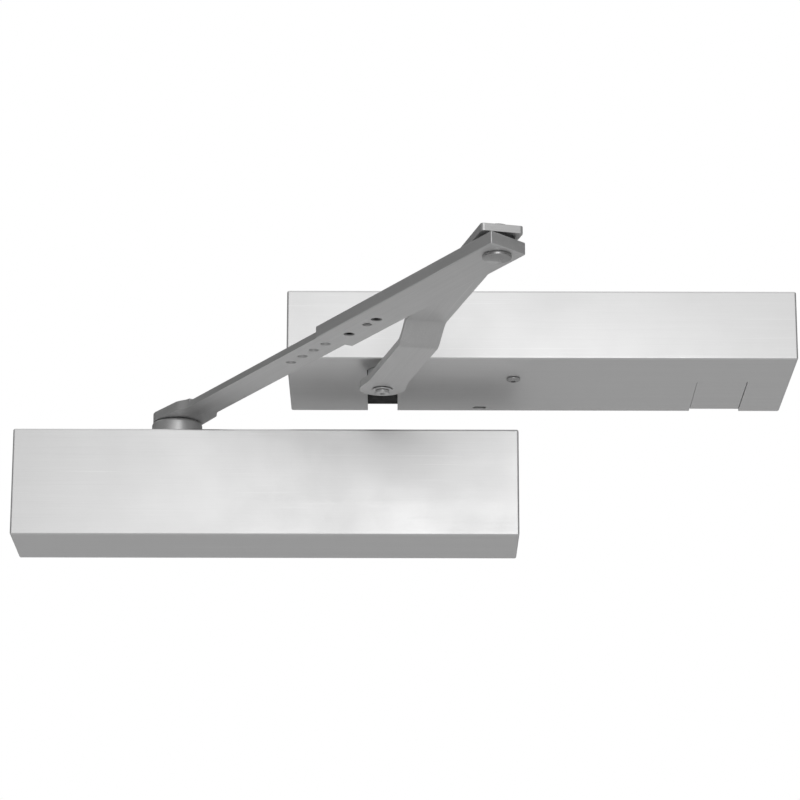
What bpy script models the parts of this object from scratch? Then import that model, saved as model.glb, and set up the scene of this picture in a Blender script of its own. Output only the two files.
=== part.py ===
"""Door closer with a hold-open frame unit, joined by a two-piece folding arm.

Frame: the origin is the centre of the frame unit's mounting face. +X runs along the
door head towards the lock side, +Y points into the wall and +Z points up.
Everything is in metres.

The frame unit hangs on the door frame. Its spindle carries the main arm, the main arm
carries the forearm at the elbow, and the forearm turns the door closer's spindle.
"""

import bpy
import bmesh
from math import acos, atan2, ceil, cos, pi, radians, sin, sqrt, tan
from mathutils import Vector

# ---------------------------------------------------------------- fits and sheet
GAP = 0.0003            # clearance between pieces that touch on the real product
OVERLAP = 0.0002        # how far two shapes run into each other before they are joined
PAST = 0.002            # how far a cutter runs past the face that it cuts
WALL = 0.0016           # sheet of both covers
COVER_EDGE = 0.0018     # outer edge radius of both covers
BACK_INSET = 0.0004     # a cover's rear edge stops this far short of the mounting plane
COVER_FIT = 0.00035     # from a mounting plate's edge to the cover that clips over it
PLATE = 0.003           # both mounting plates
ROUND_SIDES = 20        # sides of a large round piece
SMALL_SIDES = 10        # sides of a small round piece

# ---------------------------------------------------------------- frame unit
UNIT_LENGTH = 0.3238
UNIT_DEPTH = 0.1138
UNIT_HEIGHT = 0.0454
UNIT_SPINDLE_FROM_END = 0.0606
UNIT_SPINDLE_FROM_FRONT = 0.026
UNIT_PLATE_LIFT = 0.0045       # the plate's lower edge above the cover's underside
UNIT_BODY_LENGTH = 0.157
UNIT_BODY_START = 0.010        # from the unit's left end to its hydraulic body
UNIT_BODY_BACK = 0.009         # the body's rear face in front of the mounting plane
UNIT_BODY_FRONT = 0.0032       # the body's front face behind the cover's front face
UNIT_BODY_HEIGHT = 0.0388
UNIT_FOOT_LIFT = 0.0038        # the body's rear foot above the body's underside
UNIT_BORE = 0.014
UNIT_SHAFT = 0.0065
UNIT_BEARING_WALL = 0.0045
SLOT_WIDTH = 0.0196            # slot in the cover that passes the spindle
PLUG_WIDTH = 0.0328
PLUG_LENGTH = 0.0652
PLUG_FROM_END = 0.0271         # from the unit's right end to the plug
PLUG_RECESS = 0.0004
PLUG_LIP = 0.0025
COVER_SCREW_X = -0.0170
COVER_SCREW_Y = -0.0722
COVER_SCREW = 0.0020
COVER_SCREW_HEAD = 0.0044
COVER_SCREW_RISE = 0.0022      # the screw's head below the cover
RELEASE_SLOT_X = -0.0372
RELEASE_SLOT_Y = -0.0068
RELEASE_SLOT = (0.0090, 0.0048)

# ---------------------------------------------------------------- door closer
CASE_LENGTH = 0.330
CASE_DEPTH = 0.0611
CASE_HEIGHT = 0.0715
CASE_DROP = 0.0225             # from the unit's underside down to the closer's top
CASE_BEHIND = 0.0285           # the closer's mounting plane behind the unit's
CASE_SPINDLE_X = -0.2374
CASE_SPINDLE_FROM_END = 0.1050
BODY_CLEAR_LEFT = 0.0096       # from the case's left end to the hydraulic body
BODY_CLEAR_RIGHT = 0.0164      # from the case's right end to the hydraulic body
BODY_CHAMFER = 0.004
CAP_SEAT = 0.0030              # how deep the bottom cap's plug stands in the body
BORE = 0.017
BODY_SIDE_WALL = 0.011         # metal above and below the bore
BODY_FRONT_WALL = 0.005        # metal in front of the bore
SHAFT = 0.008
SHAFT_SQUARE = 0.011           # across the flats of the spindle's upper end
BEARING_WALL = 0.005
BOSS_WALL = 0.0035
COLLAR_WALL = 0.0026           # the collar past the cover's slot
COLLAR_CROWN = 0.0022           # broken top edge of the collar
COLLAR_RIM = 0.0045            # the collar's flange past the cover's slot
SLOT_PAST_BEARING = 0.001      # the cover's slot past the spindle's bearing

# ---------------------------------------------------------------- rack and pinion
PRESSURE_ANGLE = radians(25)
PINION_TEETH = 10
BACKLASH = 0.00015             # taken off each tooth at the pitch line
CASE_MODULE = 0.0018
UNIT_MODULE = 0.0015
TIP = 0.88                     # pinion tip height, in modules
RACK_TIP = 0.80                # rack tip height, in modules
TOOTH_ROOT = 1.10              # root depth, in modules
CASE_SWING = (radians(-150), radians(15))
UNIT_SWING = (radians(-72), radians(42))

# ---------------------------------------------------------------- arms
MAIN_ARM_LENGTH = 0.2650       # spindle to elbow
FOREARM_LENGTH = 0.3975        # elbow to spindle
ARM_WIDTH = 0.0248
ARM_THICK = 0.0045
ARM_LEVEL = 0.0102             # the main arm's lower part above the closer's top
ARM_HUB = 0.0145
ARM_TIP = 0.0115               # the main arm past the elbow
JOGGLE_START = 0.088
JOGGLE_LENGTH = 0.024
SLEEVE_LEVEL = 0.0107          # the sleeve's underside above the closer's top
SLEEVE_WIDTH = 0.0276
SLEEVE_WALL = 0.0015
SLEEVE_TIP = 0.0122            # the sleeve past the elbow
SLEEVE_LENGTH = 0.1993
SLEEVE_SKEW = tan(radians(15))   # slant of the end at the elbow
SLEEVE_FAR_SKEW = tan(radians(6))
SLEEVE_POCKET = 0.032          # from the elbow to the pocket for the bar
BAR_WIDTH = 0.0215
BAR_THICK = 0.004
BAR_INSIDE = 0.095             # the bar's free end, from the elbow
BAR_HOLE = 0.0030
BAR_HOLE_PITCH = 0.0146
BAR_HOLE_FIRST = 0.1560        # first hole, from the closer's spindle
BAR_HOLES = 5                   # open holes of the bar, the last one inside the sleeve
HUB_RADIUS = 0.0159
HUB_SHOULDER = 0.026            # where the hub starts to narrow
HUB_SHOULDER_WIDTH = 0.0296
HUB_SCREW_HEAD = 0.0090
HUB_SCREW_HEIGHT = 0.0016
HUB_NECK = 0.038               # where the hub has narrowed to the bar
SLEEVE_SCREW_HOLES = (6, 8.25)  # where the two clamping screws sit, in pitches
SLEEVE_OPEN_HOLE = 7.5
SET_SCREW_SOCKET = 0.0018
SET_SCREW_SOCKET_DEPTH = 0.0025
ELBOW_PIN = 0.005
ELBOW_HEAD = 0.0084
ELBOW_HEAD_HEIGHT = 0.0026
ELBOW_WASHER = 0.002

# ---------------------------------------------------------------- places that follow
UNIT_BEARING = UNIT_SHAFT + UNIT_BEARING_WALL
BEARING = SHAFT + BEARING_WALL
CASE_SLOT_WIDTH = 2 * (BEARING + SLOT_PAST_BEARING)
COLLAR_RADIUS = CASE_SLOT_WIDTH / 2 + COLLAR_WALL
COLLAR_FLANGE = CASE_SLOT_WIDTH / 2 + COLLAR_RIM
BODY_HEIGHT = 2 * (BORE + BODY_SIDE_WALL)
BODY_FRONT = BORE + BODY_FRONT_WALL
UNIT_BOTTOM = -UNIT_HEIGHT / 2
UNIT_TOP = UNIT_HEIGHT / 2
UNIT_LEFT = -UNIT_LENGTH / 2
UNIT_RIGHT = UNIT_LENGTH / 2
UNIT_SPINDLE = Vector((UNIT_LEFT + UNIT_SPINDLE_FROM_END, UNIT_SPINDLE_FROM_FRONT - UNIT_DEPTH))
CASE_TOP = UNIT_BOTTOM - CASE_DROP
CASE_MIDDLE = CASE_TOP - CASE_HEIGHT / 2
CASE_SPINDLE = Vector((CASE_SPINDLE_X, CASE_BEHIND - CASE_DEPTH / 2))


def elbow_place():
    """The elbow: both arms at their full lengths, on the room side of both units."""
    across = CASE_SPINDLE - UNIT_SPINDLE
    apart = across.length
    along = (MAIN_ARM_LENGTH ** 2 - FOREARM_LENGTH ** 2 + apart ** 2) / (2 * apart)
    aside = sqrt(MAIN_ARM_LENGTH ** 2 - along ** 2)
    direction = across / apart
    sideways = Vector((-direction.y, direction.x))
    return UNIT_SPINDLE + direction * along + sideways * aside


ELBOW = elbow_place()
MAIN_ARM_TURN = atan2(ELBOW.y - UNIT_SPINDLE.y, ELBOW.x - UNIT_SPINDLE.x)
FOREARM_TURN = atan2(CASE_SPINDLE.y - ELBOW.y, CASE_SPINDLE.x - ELBOW.x)

SLEEVE_BOTTOM = CASE_TOP + SLEEVE_LEVEL
BAR_BOTTOM = SLEEVE_BOTTOM + SLEEVE_WALL + GAP
BAR_TOP = BAR_BOTTOM + BAR_THICK
SLEEVE_TOP = BAR_TOP + GAP + SLEEVE_WALL
HUB_BOTTOM = BAR_BOTTOM
HUB_TOP = SLEEVE_TOP
COLLAR_HEIGHT = HUB_BOTTOM - GAP - CASE_TOP
ARM_LOW = CASE_TOP + ARM_LEVEL
ARM_HIGH = SLEEVE_TOP + GAP + ELBOW_WASHER + GAP


# ---------------------------------------------------------------- shapes
def on_axis(axis, a, b, along):
    """A point at (a, b) across an axis and at the given distance along it."""
    if axis == "x":
        return Vector((along, a, b))
    if axis == "y":
        return Vector((a, along, b))
    return Vector((a, b, along))


def add_box(shape, low, high):
    """A box between two corners."""
    outline = [(low[0], low[1]), (high[0], low[1]), (high[0], high[1]), (low[0], high[1])]
    add_prism(shape, outline, low[2], high[2])


def add_prism(shape, outline, start, end, axis="z"):
    """An outline across an axis, drawn out along that axis."""
    near = [shape.verts.new(on_axis(axis, a, b, start)) for a, b in outline]
    far = [shape.verts.new(on_axis(axis, a, b, end)) for a, b in outline]
    shape.faces.new(list(reversed(near)))
    shape.faces.new(far)
    count = len(outline)
    for i in range(count):
        j = (i + 1) % count
        shape.faces.new((near[i], near[j], far[j], far[i]))


def add_turned(shape, outline, centre=(0, 0), axis="z", sides=ROUND_SIDES, ring=False):
    """An outline of (radius, along) points turned about an axis.

    A ring's outline closes on itself; any other starts and ends at radius 0.
    """
    rows = []
    for radius, along in outline:
        if radius == 0:
            rows.append([shape.verts.new(on_axis(axis, centre[0], centre[1], along))] * sides)
            continue
        row = []
        for i in range(sides):
            angle = 2 * pi * i / sides
            a = centre[0] + radius * cos(angle)
            b = centre[1] + radius * sin(angle)
            row.append(shape.verts.new(on_axis(axis, a, b, along)))
        rows.append(row)
    pairs = list(zip(rows, rows[1:]))
    if ring:
        pairs.append((rows[-1], rows[0]))
    for first, second in pairs:
        if first[0] is first[-1] and second[0] is second[-1]:
            continue
        for i in range(sides):
            j = (i + 1) % sides
            corners = []
            for corner in (first[i], first[j], second[j], second[i]):
                if corner not in corners:
                    corners.append(corner)
            shape.faces.new(corners)


def add_rod(shape, radius, start, end, centre=(0, 0), axis="z", sides=ROUND_SIDES):
    """A plain round rod."""
    outline = [(0, start), (radius, start), (radius, end), (0, end)]
    add_turned(shape, outline, centre, axis, sides)


def add_tube(shape, inner, outer, start, end, centre=(0, 0), axis="z", sides=ROUND_SIDES):
    """A plain tube or washer."""
    outline = [(inner, start), (outer, start), (outer, end), (inner, end)]
    add_turned(shape, outline, centre, axis, sides, ring=True)


def polygon(radius, sides, centre=(0, 0), turn=0.0):
    """Corners of a regular polygon."""
    return [
        (centre[0] + radius * cos(turn + 2 * pi * i / sides),
         centre[1] + radius * sin(turn + 2 * pi * i / sides))
        for i in range(sides)
    ]


def rounded_outline(width, depth, radius, centre=(0, 0), steps=4):
    """A rectangle with round corners."""
    points = []
    for quarter, (side_x, side_y) in enumerate(((1, 1), (-1, 1), (-1, -1), (1, -1))):
        middle_x = centre[0] + side_x * (width / 2 - radius)
        middle_y = centre[1] + side_y * (depth / 2 - radius)
        for i in range(steps + 1):
            angle = quarter * pi / 2 + pi / 2 * i / steps
            points.append((middle_x + radius * cos(angle), middle_y + radius * sin(angle)))
    return points


def add_coil(shape, radius, wire, start, end, turns, axis="x"):
    """A compression spring of hexagonal wire whose end turns lie flat."""
    steps_per_turn = 12
    sides = 5
    flat = 2 * wire * 1.05
    steps = round(turns * steps_per_turn)
    rise = (end - start - 2 * wire - 2 * flat) / (turns - 2)
    rows = []
    for i in range(steps + 1):
        turn = i / steps_per_turn
        angle = 2 * pi * turn
        low = min(turn, 1.0) * flat
        middle = min(max(turn - 1.0, 0.0), turns - 2) * rise
        high = max(turn - (turns - 1.0), 0.0) * flat
        along = start + wire + low + middle + high
        row = []
        for k in range(sides):
            around = 2 * pi * (k + 0.5) / sides
            out = radius + wire * cos(around)
            point = on_axis(axis, out * cos(angle), out * sin(angle), along + wire * sin(around))
            row.append(shape.verts.new(point))
        rows.append(row)
    for first, second in zip(rows, rows[1:]):
        for k in range(sides):
            m = (k + 1) % sides
            shape.faces.new((first[k], first[m], second[m], second[k]))
    shape.faces.new(rows[0])
    shape.faces.new(list(reversed(rows[-1])))


# ---------------------------------------------------------------- objects
def empty_scene():
    for item in list(bpy.data.objects):
        bpy.data.objects.remove(item, do_unlink=True)


def make_material(name, colour, roughness, metallic):
    material = bpy.data.materials.new(name)
    material.use_nodes = True
    shader = material.node_tree.nodes["Principled BSDF"]
    shader.inputs["Base Color"].default_value = (*colour, 1.0)
    shader.inputs["Roughness"].default_value = roughness
    shader.inputs["Metallic"].default_value = metallic
    return material


def make_pivot(name, place, turn=0.0):
    """An empty on a joint's axis. Its pieces are drawn in its own axes."""
    pivot = bpy.data.objects.new(name, None)
    pivot.empty_display_size = 0.02
    pivot.location = place
    pivot.rotation_euler = (0, 0, turn)
    bpy.context.scene.collection.objects.link(pivot)
    return pivot


def make_object(name, shape, finish, pivot=None):
    """Turn a bmesh into an object with its own material."""
    bmesh.ops.recalc_face_normals(shape, faces=shape.faces)
    mesh = bpy.data.meshes.new(name)
    shape.to_mesh(mesh)
    shape.free()
    mesh.shade_smooth()
    mesh.set_sharp_from_angle(angle=radians(32))
    item = bpy.data.objects.new(name, mesh)
    item.parent = pivot
    bpy.context.scene.collection.objects.link(item)
    if finish is not None:
        item.data.materials.append(make_material(name + "_finish", *finish))
    return item


def combine(target, shape, operation):
    """Cut a shape out of an object, or join it on, with a hidden helper."""
    label = target.name + "_" + operation.lower() + "_" + str(len(target.modifiers) + 1)
    helper = make_object(label, shape, None, target.parent)
    helper.hide_render = True
    helper.display_type = "WIRE"
    modifier = target.modifiers.new(label, "BOOLEAN")
    modifier.operation = operation
    modifier.solver = "EXACT"
    modifier.object = helper


def cut(target, shape):
    combine(target, shape, "DIFFERENCE")


def join(target, shape):
    combine(target, shape, "UNION")


# finishes: colour, roughness, metallic
BRUSHED = ((0.80, 0.80, 0.81), 0.34, 0.9)
ARM_STEEL = ((0.55, 0.55, 0.56), 0.42, 0.9)
CASTING = ((0.30, 0.30, 0.31), 0.55, 0.8)
STEEL = ((0.50, 0.50, 0.51), 0.35, 1.0)
DARK_STEEL = ((0.12, 0.12, 0.13), 0.45, 0.9)
ZINC = ((0.62, 0.62, 0.60), 0.45, 0.9)
BRASS = ((0.72, 0.55, 0.25), 0.35, 1.0)
RUBBER = ((0.03, 0.03, 0.03), 0.8, 0.0)
PLASTIC = ((0.08, 0.08, 0.085), 0.5, 0.0)
GREY_PLASTIC = ((0.55, 0.55, 0.55), 0.5, 0.0)
BOARD = ((0.05, 0.22, 0.10), 0.5, 0.0)
COPPER = ((0.55, 0.25, 0.12), 0.4, 0.6)
SPRING_STEEL = ((0.25, 0.25, 0.26), 0.35, 1.0)


# ---------------------------------------------------------------- gears
def involute(angle):
    return tan(angle) - angle


def pinion_outline(module, turn):
    """Corners of an involute pinion with one tooth pointing along turn."""
    pitch = module * PINION_TEETH / 2
    base = pitch * cos(PRESSURE_ANGLE)
    tip = pitch + TIP * module
    root = pitch - TOOTH_ROOT * module
    half = pi / (2 * PINION_TEETH) - BACKLASH / (2 * pitch) + involute(PRESSURE_ANGLE)
    flank = [(root, half - involute(0.0))]
    steps = 3
    for i in range(steps + 1):
        radius = base + (tip - base) * i / steps
        flank.append((radius, half - involute(acos(base / radius))))
    corners = []
    for tooth in range(PINION_TEETH):
        middle = turn + 2 * pi * tooth / PINION_TEETH
        corners += [(r * cos(middle - a), r * sin(middle - a)) for r, a in flank]
        corners += [(r * cos(middle + a), r * sin(middle + a)) for r, a in reversed(flank)]
    return corners


def rack_window(module, swing, side_clear):
    """The opening through a piston, with rack teeth along its -Y side."""
    pitch = module * PINION_TEETH / 2
    tip = pitch + TIP * module
    travel = [pitch * angle for angle in swing]
    first = -max(travel) - tip - side_clear
    last = -min(travel) + tip + side_clear
    step = pi * module
    half = (step / 2 - BACKLASH) / 2
    crest = -pitch + RACK_TIP * module
    floor = -tip - GAP
    half_crest = half - RACK_TIP * module * tan(PRESSURE_ANGLE)
    half_floor = half + (-pitch - floor) * tan(PRESSURE_ANGLE)
    outline = [(first, tip + GAP), (last, tip + GAP), (last, floor)]
    highest = int((last - half_floor) / step - 0.5)
    lowest = ceil((first + half_floor) / step - 0.5)
    for k in range(highest, lowest - 1, -1):
        middle = (k + 0.5) * step
        outline.append((middle + half_floor, floor))
        outline.append((middle + half_crest, crest))
        outline.append((middle - half_crest, crest))
        outline.append((middle - half_floor, floor))
    outline.append((first, floor))
    return outline, first, last


# ---------------------------------------------------------------- fasteners
def socket_screw(name, head, head_height, shank, start, end, centre, axis, pivot, socket=0.0016):
    """A cap screw. Its head lies before start, its shank runs from start to end."""
    way = 1 if end > start else -1
    outline = [
        (0, start - way * head_height),
        (head - 0.0004, start - way * head_height),
        (head, start - way * (head_height - 0.0004)),
        (head, start),
        (shank, start),
        (shank, end),
        (0, end),
    ]
    shape = bmesh.new()
    add_turned(shape, outline, centre, axis, SMALL_SIDES)
    screw = make_object(name, shape, STEEL, pivot)
    recess = bmesh.new()
    outer = start - way * (head_height + PAST)
    floor = start - way * head_height * 0.35
    add_prism(recess, polygon(socket, 6, centre), outer, floor, axis)
    cut(screw, recess)
    return screw


# ---------------------------------------------------------------- covers
def make_cover(name, left, right, front, back, bottom, top, pivot):
    """A five-sided cover with soft outer edges, open at the back."""
    shape = bmesh.new()
    add_box(shape, (left, front, bottom), (right, back, top))
    edges = [e for e in shape.edges if min(v.co.y for v in e.verts) < front + GAP or
             abs(e.verts[0].co.y - e.verts[1].co.y) > GAP]
    bmesh.ops.bevel(
        shape, geom=edges, offset=COVER_EDGE, segments=2, profile=0.5, affect="EDGES")
    cover = make_object(name, shape, BRUSHED, pivot)
    hollow = bmesh.new()
    add_box(
        hollow,
        (left + WALL, front + WALL, bottom + WALL),
        (right - WALL, back + PAST, top - WALL))
    cut(cover, hollow)
    return cover


def slot_outline(middle, half, tip, back):
    """A slot with a round end at tip, open past back."""
    points = [(middle + half, back + PAST), (middle - half, back + PAST)]
    for i in range(11):
        angle = pi + pi * i / 10
        points.append((middle + half * cos(angle), tip + half * sin(angle)))
    return points


# ---------------------------------------------------------------- frame unit
BORE_Z = UNIT_BOTTOM + WALL + GAP + UNIT_BODY_HEIGHT / 2
BODY_B_BOTTOM = BORE_Z - UNIT_BODY_HEIGHT / 2
BODY_B_TOP = BORE_Z + UNIT_BODY_HEIGHT / 2
BODY_B_LEFT = UNIT_LEFT + UNIT_BODY_START
BODY_B_RIGHT = BODY_B_LEFT + UNIT_BODY_LENGTH
SOLENOID = (-0.035, BORE_Z)
PORT_RADIUS = 0.0054
PORT_DEPTH = 0.018
CAP_DEPTH = 0.008
CAP_RIM = 0.0025               # a cap's flange past its bore
FRAME_SCREW_INSET = 0.017
FRAME_SCREW_HEIGHTS = (BORE_Z - 0.009, BORE_Z + 0.012)
FRAME_SCREW = 0.0022


def frame_cover():
    back = -BACK_INSET
    cover = make_cover(
        "frame_cover", UNIT_LEFT, UNIT_RIGHT, -UNIT_DEPTH, back, UNIT_BOTTOM, UNIT_TOP, None)
    low = UNIT_BOTTOM - PAST
    high = UNIT_BOTTOM + WALL + PAST
    openings = bmesh.new()
    add_prism(openings, slot_outline(UNIT_SPINDLE.x, SLOT_WIDTH / 2, UNIT_SPINDLE.y, back), low, high)
    plug_right = UNIT_RIGHT - PLUG_FROM_END
    add_box(
        openings, (plug_right - PLUG_WIDTH, -PLUG_LENGTH, low), (plug_right, back + PAST, high))
    hole = COVER_SCREW + 0.0005
    add_rod(openings, hole, low, high, (COVER_SCREW_X, COVER_SCREW_Y), "z", SMALL_SIDES)
    width, depth = RELEASE_SLOT
    add_prism(
        openings,
        rounded_outline(width, depth, depth / 2 - GAP, (RELEASE_SLOT_X, RELEASE_SLOT_Y)),
        low, high)
    cut(cover, openings)


def frame_slot_plug():
    """The filler of the cover's second slot, held by a lip inside the sheet."""
    plug_right = UNIT_RIGHT - PLUG_FROM_END
    plug_left = plug_right - PLUG_WIDTH
    inside = UNIT_BOTTOM + WALL + GAP
    shape = bmesh.new()
    add_box(
        shape,
        (plug_left - PLUG_LIP, -PLUG_LENGTH - PLUG_LIP, inside),
        (plug_right + PLUG_LIP, -PLATE - 2 * GAP, inside + WALL))
    plug = make_object("frame_slot_plug", shape, BRUSHED)
    face = bmesh.new()
    add_box(
        face,
        (plug_left + GAP, -PLUG_LENGTH + GAP, UNIT_BOTTOM + PLUG_RECESS),
        (plug_right - GAP, -PLATE - 2 * GAP, inside + OVERLAP))
    join(plug, face)


def frame_backplate():
    shape = bmesh.new()
    left = UNIT_LEFT + WALL + COVER_FIT
    right = UNIT_RIGHT - WALL - COVER_FIT
    bottom = UNIT_BOTTOM + UNIT_PLATE_LIFT
    top = UNIT_TOP - WALL - COVER_FIT
    add_box(shape, (left, -PLATE, bottom), (right, 0, top))
    plate = make_object("frame_backplate", shape, ZINC)
    holes = bmesh.new()
    for x in (left + 0.007, right - 0.012):
        for z in (bottom + 0.008, top - 0.008):
            add_rod(holes, 0.0028, -PLATE - PAST, PAST, (x, z), "y", SMALL_SIDES)
    for x in (BODY_B_LEFT + FRAME_SCREW_INSET, BODY_B_RIGHT - FRAME_SCREW_INSET):
        for z in FRAME_SCREW_HEIGHTS:
            outline = [
                (0, -PLATE - PAST),
                (FRAME_SCREW + GAP, -PLATE - PAST),
                (FRAME_SCREW + GAP, -0.0022),
                (FRAME_SCREW + GAP + 0.0022, 0),
                (FRAME_SCREW + GAP + 0.0022, PAST),
                (0, PAST),
            ]
            add_turned(holes, outline, (x, z), "y", SMALL_SIDES)
    cable_x = UNIT_RIGHT - PLUG_FROM_END - PLUG_WIDTH / 2
    add_prism(
        holes, rounded_outline(0.030, 0.018, 0.006, (cable_x, 0.0)), -PLATE - PAST, PAST, "y")
    cut(plate, holes)


def frame_body():
    """The hold-open unit's hydraulic casting, with a foot on the mounting plate."""
    front = -UNIT_DEPTH + UNIT_BODY_FRONT
    foot = BODY_B_BOTTOM + UNIT_FOOT_LIFT
    chamfer = 0.002
    outline = [
        (front + chamfer, BODY_B_BOTTOM),
        (-UNIT_BODY_BACK, BODY_B_BOTTOM),
        (-UNIT_BODY_BACK, foot),
        (-PLATE - GAP, foot),
        (-PLATE - GAP, BODY_B_TOP),
        (front + chamfer, BODY_B_TOP),
        (front, BODY_B_TOP - chamfer),
        (front, BODY_B_BOTTOM + chamfer),
    ]
    shape = bmesh.new()
    add_prism(shape, outline, BODY_B_LEFT, BODY_B_RIGHT, "x")
    body = make_object("frame_body", shape, CASTING)
    bore = bmesh.new()
    add_rod(
        bore, UNIT_BORE, BODY_B_LEFT - PAST, BODY_B_RIGHT + PAST, (UNIT_SPINDLE.y, BORE_Z), "x",
        ROUND_SIDES)
    cut(body, bore)
    shaft = bmesh.new()
    add_rod(
        shaft, UNIT_BEARING + GAP, BODY_B_BOTTOM - PAST, BODY_B_TOP + PAST, UNIT_SPINDLE[:])
    cut(body, shaft)
    ports = bmesh.new()
    add_rod(ports, PORT_RADIUS, BODY_B_RIGHT - PORT_DEPTH, BODY_B_RIGHT + PAST, SOLENOID, "x")
    for x in (BODY_B_LEFT + FRAME_SCREW_INSET, BODY_B_RIGHT - FRAME_SCREW_INSET):
        for z in FRAME_SCREW_HEIGHTS:
            add_rod(ports, FRAME_SCREW + GAP, -0.016, -PLATE + PAST, (x, z), "y", SMALL_SIDES)
    add_rod(
        ports, COVER_SCREW + GAP, BODY_B_BOTTOM - PAST, BODY_B_BOTTOM + 0.007,
        (COVER_SCREW_X, COVER_SCREW_Y), "z", SMALL_SIDES)
    cut(body, ports)
    # the space in front of the solenoid port, which leaves a rib behind the cylinder
    pocket = bmesh.new()
    add_box(
        pocket,
        (BODY_B_LEFT + 0.012, -0.060, BODY_B_BOTTOM + 0.006),
        (BODY_B_RIGHT - PORT_DEPTH - 0.008, -0.022, BODY_B_TOP + PAST))
    cut(body, pocket)


def frame_screws():
    """Four countersunk screws from the back of the plate into the body's foot."""
    number = 0
    for x in (BODY_B_LEFT + FRAME_SCREW_INSET, BODY_B_RIGHT - FRAME_SCREW_INSET):
        for z in FRAME_SCREW_HEIGHTS:
            number += 1
            outline = [
                (0, -0.0150),
                (FRAME_SCREW, -0.0150),
                (FRAME_SCREW, -0.0022 - GAP),
                (FRAME_SCREW + 0.0020, -GAP),
                (0, -GAP),
            ]
            shape = bmesh.new()
            add_turned(shape, outline, (x, z), "y", SMALL_SIDES)
            screw = make_object("frame_body_screw_" + str(number), shape, STEEL)
            recess = bmesh.new()
            add_prism(recess, polygon(0.0014, 6, (x, z)), -0.0020, PAST, "y")
            cut(screw, recess)


def frame_cover_screw():
    """The round-headed screw that pins the cover to the body from below."""
    head = UNIT_BOTTOM - GAP
    tip = BODY_B_BOTTOM + 0.0065
    rim = 0.0006
    dome = COVER_SCREW_RISE - rim
    outline = [(0, tip), (COVER_SCREW, tip), (COVER_SCREW, head), (COVER_SCREW_HEAD, head)]
    steps = 5
    for i in range(steps):
        angle = pi / 2 * i / steps
        outline.append((COVER_SCREW_HEAD * cos(angle), head - rim - dome * sin(angle)))
    outline.append((0, head - COVER_SCREW_RISE))
    centre = (COVER_SCREW_X, COVER_SCREW_Y)
    shape = bmesh.new()
    add_turned(shape, outline, centre, "z", SMALL_SIDES)
    screw = make_object("frame_cover_screw", shape, STEEL)
    recess = bmesh.new()
    lowest = head - COVER_SCREW_RISE - PAST
    add_prism(recess, polygon(0.0016, 6, centre), lowest, head - 0.0008)
    cut(screw, recess)


def end_cap(name, radius, flange, outer, way, centre, thick, pivot, adjuster_hole=0.0):
    """A screw-in plug for a cylinder bore. Its flange stands outside the bore."""
    seat = outer + way * GAP
    middle = outer - way * thick / 2
    outline = [
        (0, outer - way * thick),
        (radius, outer - way * thick),
        (radius, middle - way * 0.0009),
        (radius - 0.0012, middle - way * 0.0009),
        (radius - 0.0012, middle + way * 0.0009),
        (radius, middle + way * 0.0009),
        (radius, seat),
        (flange, seat),
        (flange, seat + way * 0.0030),
        (0, seat + way * 0.0030),
    ]
    shape = bmesh.new()
    add_turned(shape, outline, centre, "x")
    cap = make_object(name, shape, STEEL, pivot)
    drive = bmesh.new()
    if adjuster_hole:
        ends = sorted((outer - way * (thick + PAST), outer + way * (0.003 + PAST)))
        add_rod(drive, adjuster_hole, ends[0], ends[1], centre, "x", SMALL_SIDES)
    else:
        ends = sorted((outer - way * thick * 0.4, outer + way * (0.003 + PAST)))
        add_prism(drive, polygon(0.0045, 6, centre), ends[0], ends[1], "x")
    cut(cap, drive)
    return cap


def bearing(name, inner, outer, start, end, centre, pivot):
    """A plain bearing sleeve."""
    shape = bmesh.new()
    add_tube(shape, inner, outer, start, end, centre)
    return make_object(name, shape, STEEL, pivot)


def frame_bearings():
    inner = UNIT_SHAFT + GAP
    low = BODY_B_BOTTOM + GAP
    high = BODY_B_TOP - GAP
    seat = UNIT_BORE + GAP
    centre = UNIT_SPINDLE[:]
    bearing("frame_lower_bearing", inner, UNIT_BEARING, low, BORE_Z - seat, centre, None)
    bearing("frame_upper_bearing", inner, UNIT_BEARING, BORE_Z + seat, high, centre, None)
    arm_top = ARM_LOW + ARM_THICK
    shape = bmesh.new()
    add_tube(
        shape, inner, SLOT_WIDTH / 2 - 2 * GAP, arm_top + GAP, BODY_B_BOTTOM - GAP, centre)
    make_object("frame_spindle_collar", shape, ZINC)


def frame_piston():
    """The rack piston of the hold-open unit."""
    centre = (UNIT_SPINDLE.y, BORE_Z)
    outline, first, last = rack_window(UNIT_MODULE, UNIT_SWING, 0.001)
    ends = 0.013
    shape = bmesh.new()
    start = UNIT_SPINDLE.x + first - ends
    end = UNIT_SPINDLE.x + last + ends
    add_piston(shape, UNIT_BORE - GAP, start, end, centre)
    piston = make_object("frame_piston", shape, STEEL)
    window = bmesh.new()
    add_prism(
        window,
        [(UNIT_SPINDLE.x + x, UNIT_SPINDLE.y + y) for x, y in outline],
        BORE_Z - UNIT_BORE - PAST, BORE_Z + UNIT_BORE + PAST)
    cut(piston, window)


def add_piston(shape, radius, start, end, centre):
    """A round piston with a seal groove near each end."""
    edge = 0.0008
    groove = 0.0012
    outline = [(0, start), (radius - edge, start), (radius, start + edge)]
    for middle in (start + 0.005, end - 0.005):
        outline.append((radius, middle - 0.001))
        outline.append((radius - groove, middle - 0.001))
        outline.append((radius - groove, middle + 0.001))
        outline.append((radius, middle + 0.001))
    outline += [(radius, end - edge), (radius - edge, end), (0, end)]
    add_turned(shape, outline, centre, "x")


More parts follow.
